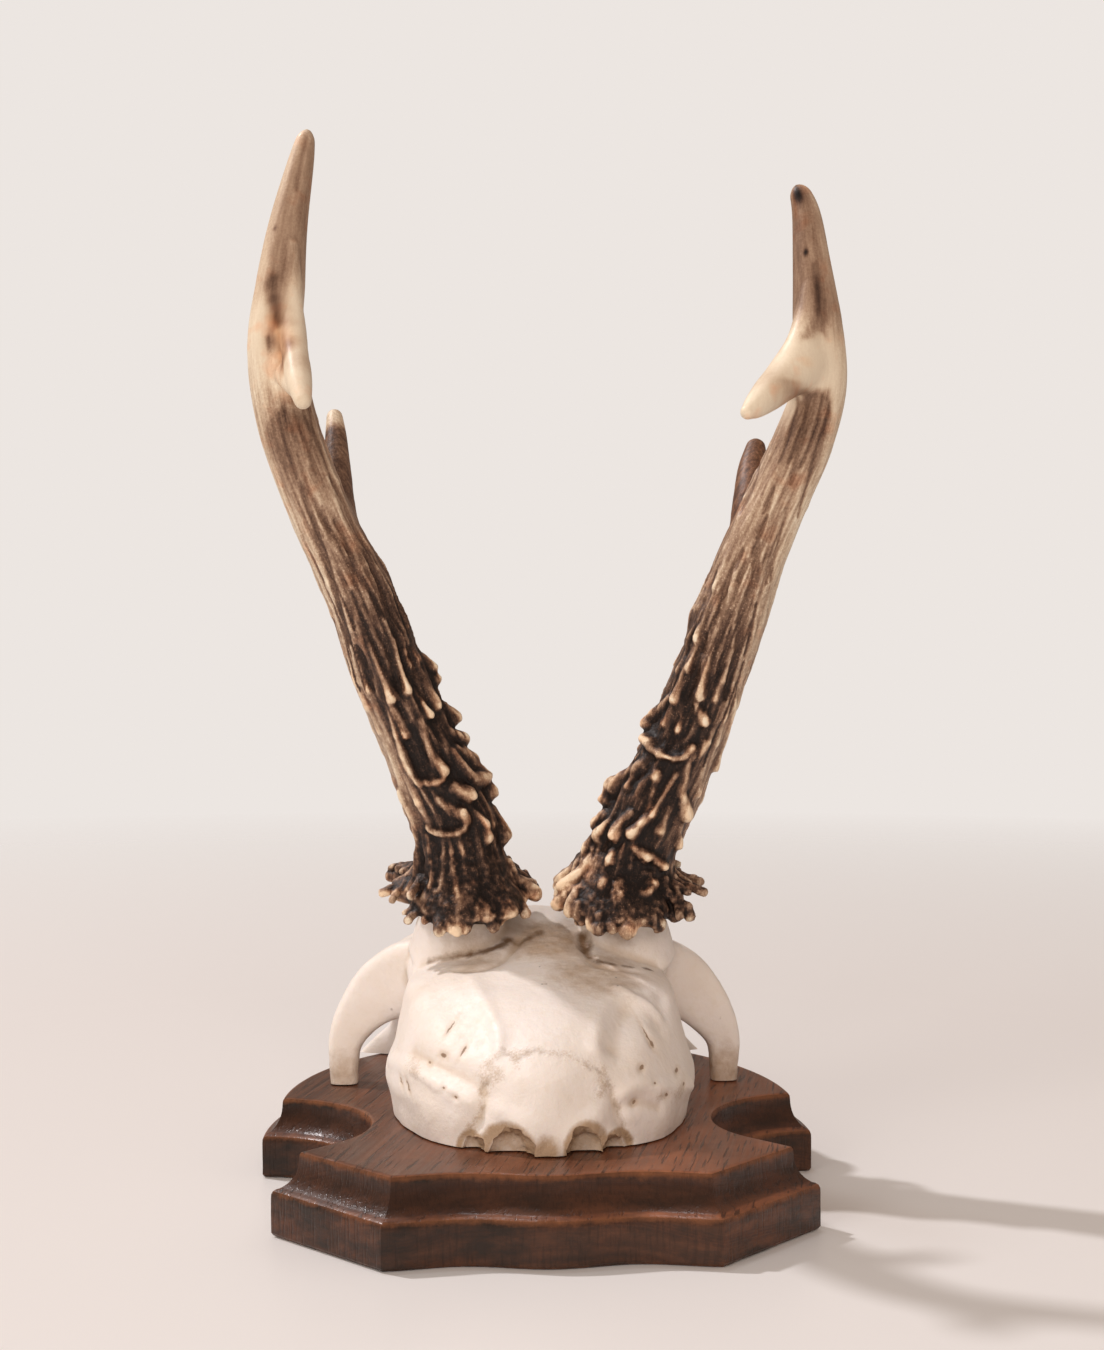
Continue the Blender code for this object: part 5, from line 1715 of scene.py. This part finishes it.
def wood_material():
    """Dark stained wood with rings, fibres, pores, rubbed edges and a thin coat."""
    made, nodes = new_material("lacquered_wood")
    place = nodes.place()
    grain = place.stretched((1.0, 1.0, 1.0), (0.0, 0.0, math.radians(GRAIN_LEAN_DEG)))
    _, facing, level = nodes.parts(nodes.add("ShaderNodeTexCoord", out="Normal"))
    upright = level.between(0.9, 0.6)
    ring = growth_rings(nodes, grain)
    fibre = grain.stretched((1.0, 0.045, 1.0)).noise(1100.0, 3.0, 0.6)
    pores = grain.stretched((1.0, 0.06, 0.8)).noise(1300.0, 2.0, 0.5)
    pore = (pores - ring * 0.05).between(0.555, 0.63) * nodes.maths("ABSOLUTE", facing).between(0.75, 0.35)
    colour = nodes.mixed(ring, (0.072, 0.0225, 0.0105), (0.190, 0.068, 0.031))
    colour = colour.toward((0.225, 0.078, 0.033), fibre.between(0.38, 0.66, 0.0, 0.45))
    cloud = place.stretched((0.6, 0.6, 1.6)).noise(110.0, 5.0, 0.7).between(0.40, 0.62)
    colour = colour.toward((0.022, 0.0130, 0.0085), cloud * level.between(0.95, 0.6, 0.30, 0.95))
    hatch = place.stretched((1.0, 1.0, 0.10)).noise(1500.0, 2.0, 0.5).between(0.50, 0.66) * upright
    # Painted shade: upright faces darker, and faces towards -Y darker still
    colour = colour.toward((0.034, 0.0165, 0.0100), upright * 0.25)
    colour = colour.toward((0.019, 0.0125, 0.0090), facing.between(-0.45, -0.95) * 0.55)
    colour = colour.toward((0.016, 0.0085, 0.0055), hatch * 0.35)
    # Painted light and reflection: brighter towards +X, mostly on the top
    ramped = nodes.parts(place)[0].between(-0.045, 0.02, 0.66, 1.55)
    colour = colour.tinted(ramped, 1.0 - upright * 0.6)
    # Painted shade in the cove
    colour = colour.toward((0.030, 0.0105, 0.0050), nodes.attribute("cove") * 0.50)
    rub = nodes.attribute("wear") + (place.noise(170.0, 5.0, 0.75) - 0.5) * 1.7
    colour = colour.toward((0.31, 0.115, 0.046), rub.between(0.55, 1.3) * 0.6)
    colour = colour.toward((0.008, 0.004, 0.003), pore * 0.65)
    bump = nodes.bump(fibre * 0.35 - (pore + hatch) + ring * 0.5, 0.5, 0.00012)
    nodes.change("Principled BSDF", {
        "Base Color": colour,
        "Roughness": fibre.between(0.3, 0.7, 0.36, 0.55),
        "Specular IOR Level": 0.24,
        "Coat Weight": 0.24,
        "Coat Roughness": 0.20,
        "Normal": bump,
        "Coat Normal": nodes.bump(place.noise(230.0, 2.0), 0.5, 0.0004, Normal=bump),
    })
    return made


# ---- stage, light and camera ----
FLOOR_HALF_SIZE = 4.0
FLOOR_FADE = (0.26, 1.1)
LIGHT_FROM_ROUND = (0.68, 0.54, 0.45, 1)
ROUND_LIGHT_STRENGTH = 0.50
BACKDROP = (0.84, 0.79, 0.755, 1)
LAMP_AIM = (0, 0, 0.06)
LAMP_DISTANCE = 2.6
# Direction from the skull, size, power and colour of each lamp
LAMPS = {
    "key": ((-0.545, 0.315, 0.777), 0.12, 37.0, (1.0, 0.965, 0.985)),
    "overhead": ((-0.08, 0.18, 1.00), 0.35, 6.0, (0.85, 0.93, 1.0)),
    "side": ((-0.85, -0.85, 0.45), 1.30, 19.0, (1.0, 0.96, 0.93)),
    "fill": ((-0.05, -1.20, 0.50), 1.60, 24.0, (1.0, 0.89, 0.82)),
}
LAMPS_IN_GLOSS = ("key", "overhead")
CAMERA_PLACE = (-0.0172, -0.4336, 0.1112)
CAMERA_PITCH_DEG = -0.27
CAMERA_YAW_DEG = -2.648
CAMERA_LENS = 53.33


def floor():
    """A pale floor that fades into the backdrop."""
    data = bpy.data.meshes.new("floor")
    half = FLOOR_HALF_SIZE
    corners = [(-half, -half, 0), (half, -half, 0), (half, half, 0), (-half, half, 0)]
    data.from_pydata(corners, [], [(0, 1, 2, 3)])
    obj = linked("floor", data)
    made, nodes = new_material("pale_floor")
    solid = nodes.change("Principled BSDF", {"Base Color": (0.86, 0.835, 0.815, 1), "Roughness": 0.36})
    far = nodes.vectors("LENGTH", {0: nodes.place()}, "Value")
    clear = nodes.add("ShaderNodeBsdfTransparent")
    fade = nodes.add("ShaderNodeMixShader", {0: far.between(*FLOOR_FADE), 1: solid, 2: clear})
    nodes.change("Material Output", {"Surface": fade})
    data.materials.append(made)


def world():
    """Soft warm light from all round, and a paler backdrop for the camera."""
    made = bpy.data.worlds.new("pale_studio")
    bpy.context.scene.world = made
    made.use_nodes = True
    nodes = Nodes(made.node_tree)
    light = nodes.change("Background", {"Color": LIGHT_FROM_ROUND, "Strength": ROUND_LIGHT_STRENGTH})
    seen = nodes.add("ShaderNodeBackground", {"Color": BACKDROP, "Strength": 1.0})
    by_camera = nodes.add("ShaderNodeLightPath", out="Is Camera Ray")
    either = nodes.add("ShaderNodeMixShader", {0: by_camera, 1: light, 2: seen})
    nodes.change("World Output", {"Surface": either})


def lamps():
    """Round lamps, all turned to the skull."""
    aim = Vector(LAMP_AIM)
    for name, (way, size, power, colour) in LAMPS.items():
        lamp = bpy.data.lights.new(name, "AREA")
        lamp.shape = "DISK"
        lamp.size = size
        lamp.energy = power
        lamp.color = colour
        obj = linked(name, lamp)
        obj.location = aim + Vector(way).normalized() * LAMP_DISTANCE
        obj.rotation_euler = (-Vector(way)).to_track_quat("-Z", "Y").to_euler()
        obj.visible_glossy = name in LAMPS_IN_GLOSS


def camera():
    """The photo's view: behind the head, a little above the plaque."""
    data = bpy.data.cameras.new("camera")
    data.lens = CAMERA_LENS
    data.sensor_width = 36.0
    data.clip_start = 0.01
    obj = linked("camera", data)
    obj.location = CAMERA_PLACE
    obj.rotation_euler = (math.radians(90 + CAMERA_PITCH_DEG), 0, math.radians(CAMERA_YAW_DEG))
    bpy.context.scene.camera = obj


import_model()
bpy.context.scene.view_settings.view_transform = "Standard"
plaque()
skull_cap()
antler(LEFT_LOOK)
antler(RIGHT_LOOK)
floor()
world()
lamps()
camera()
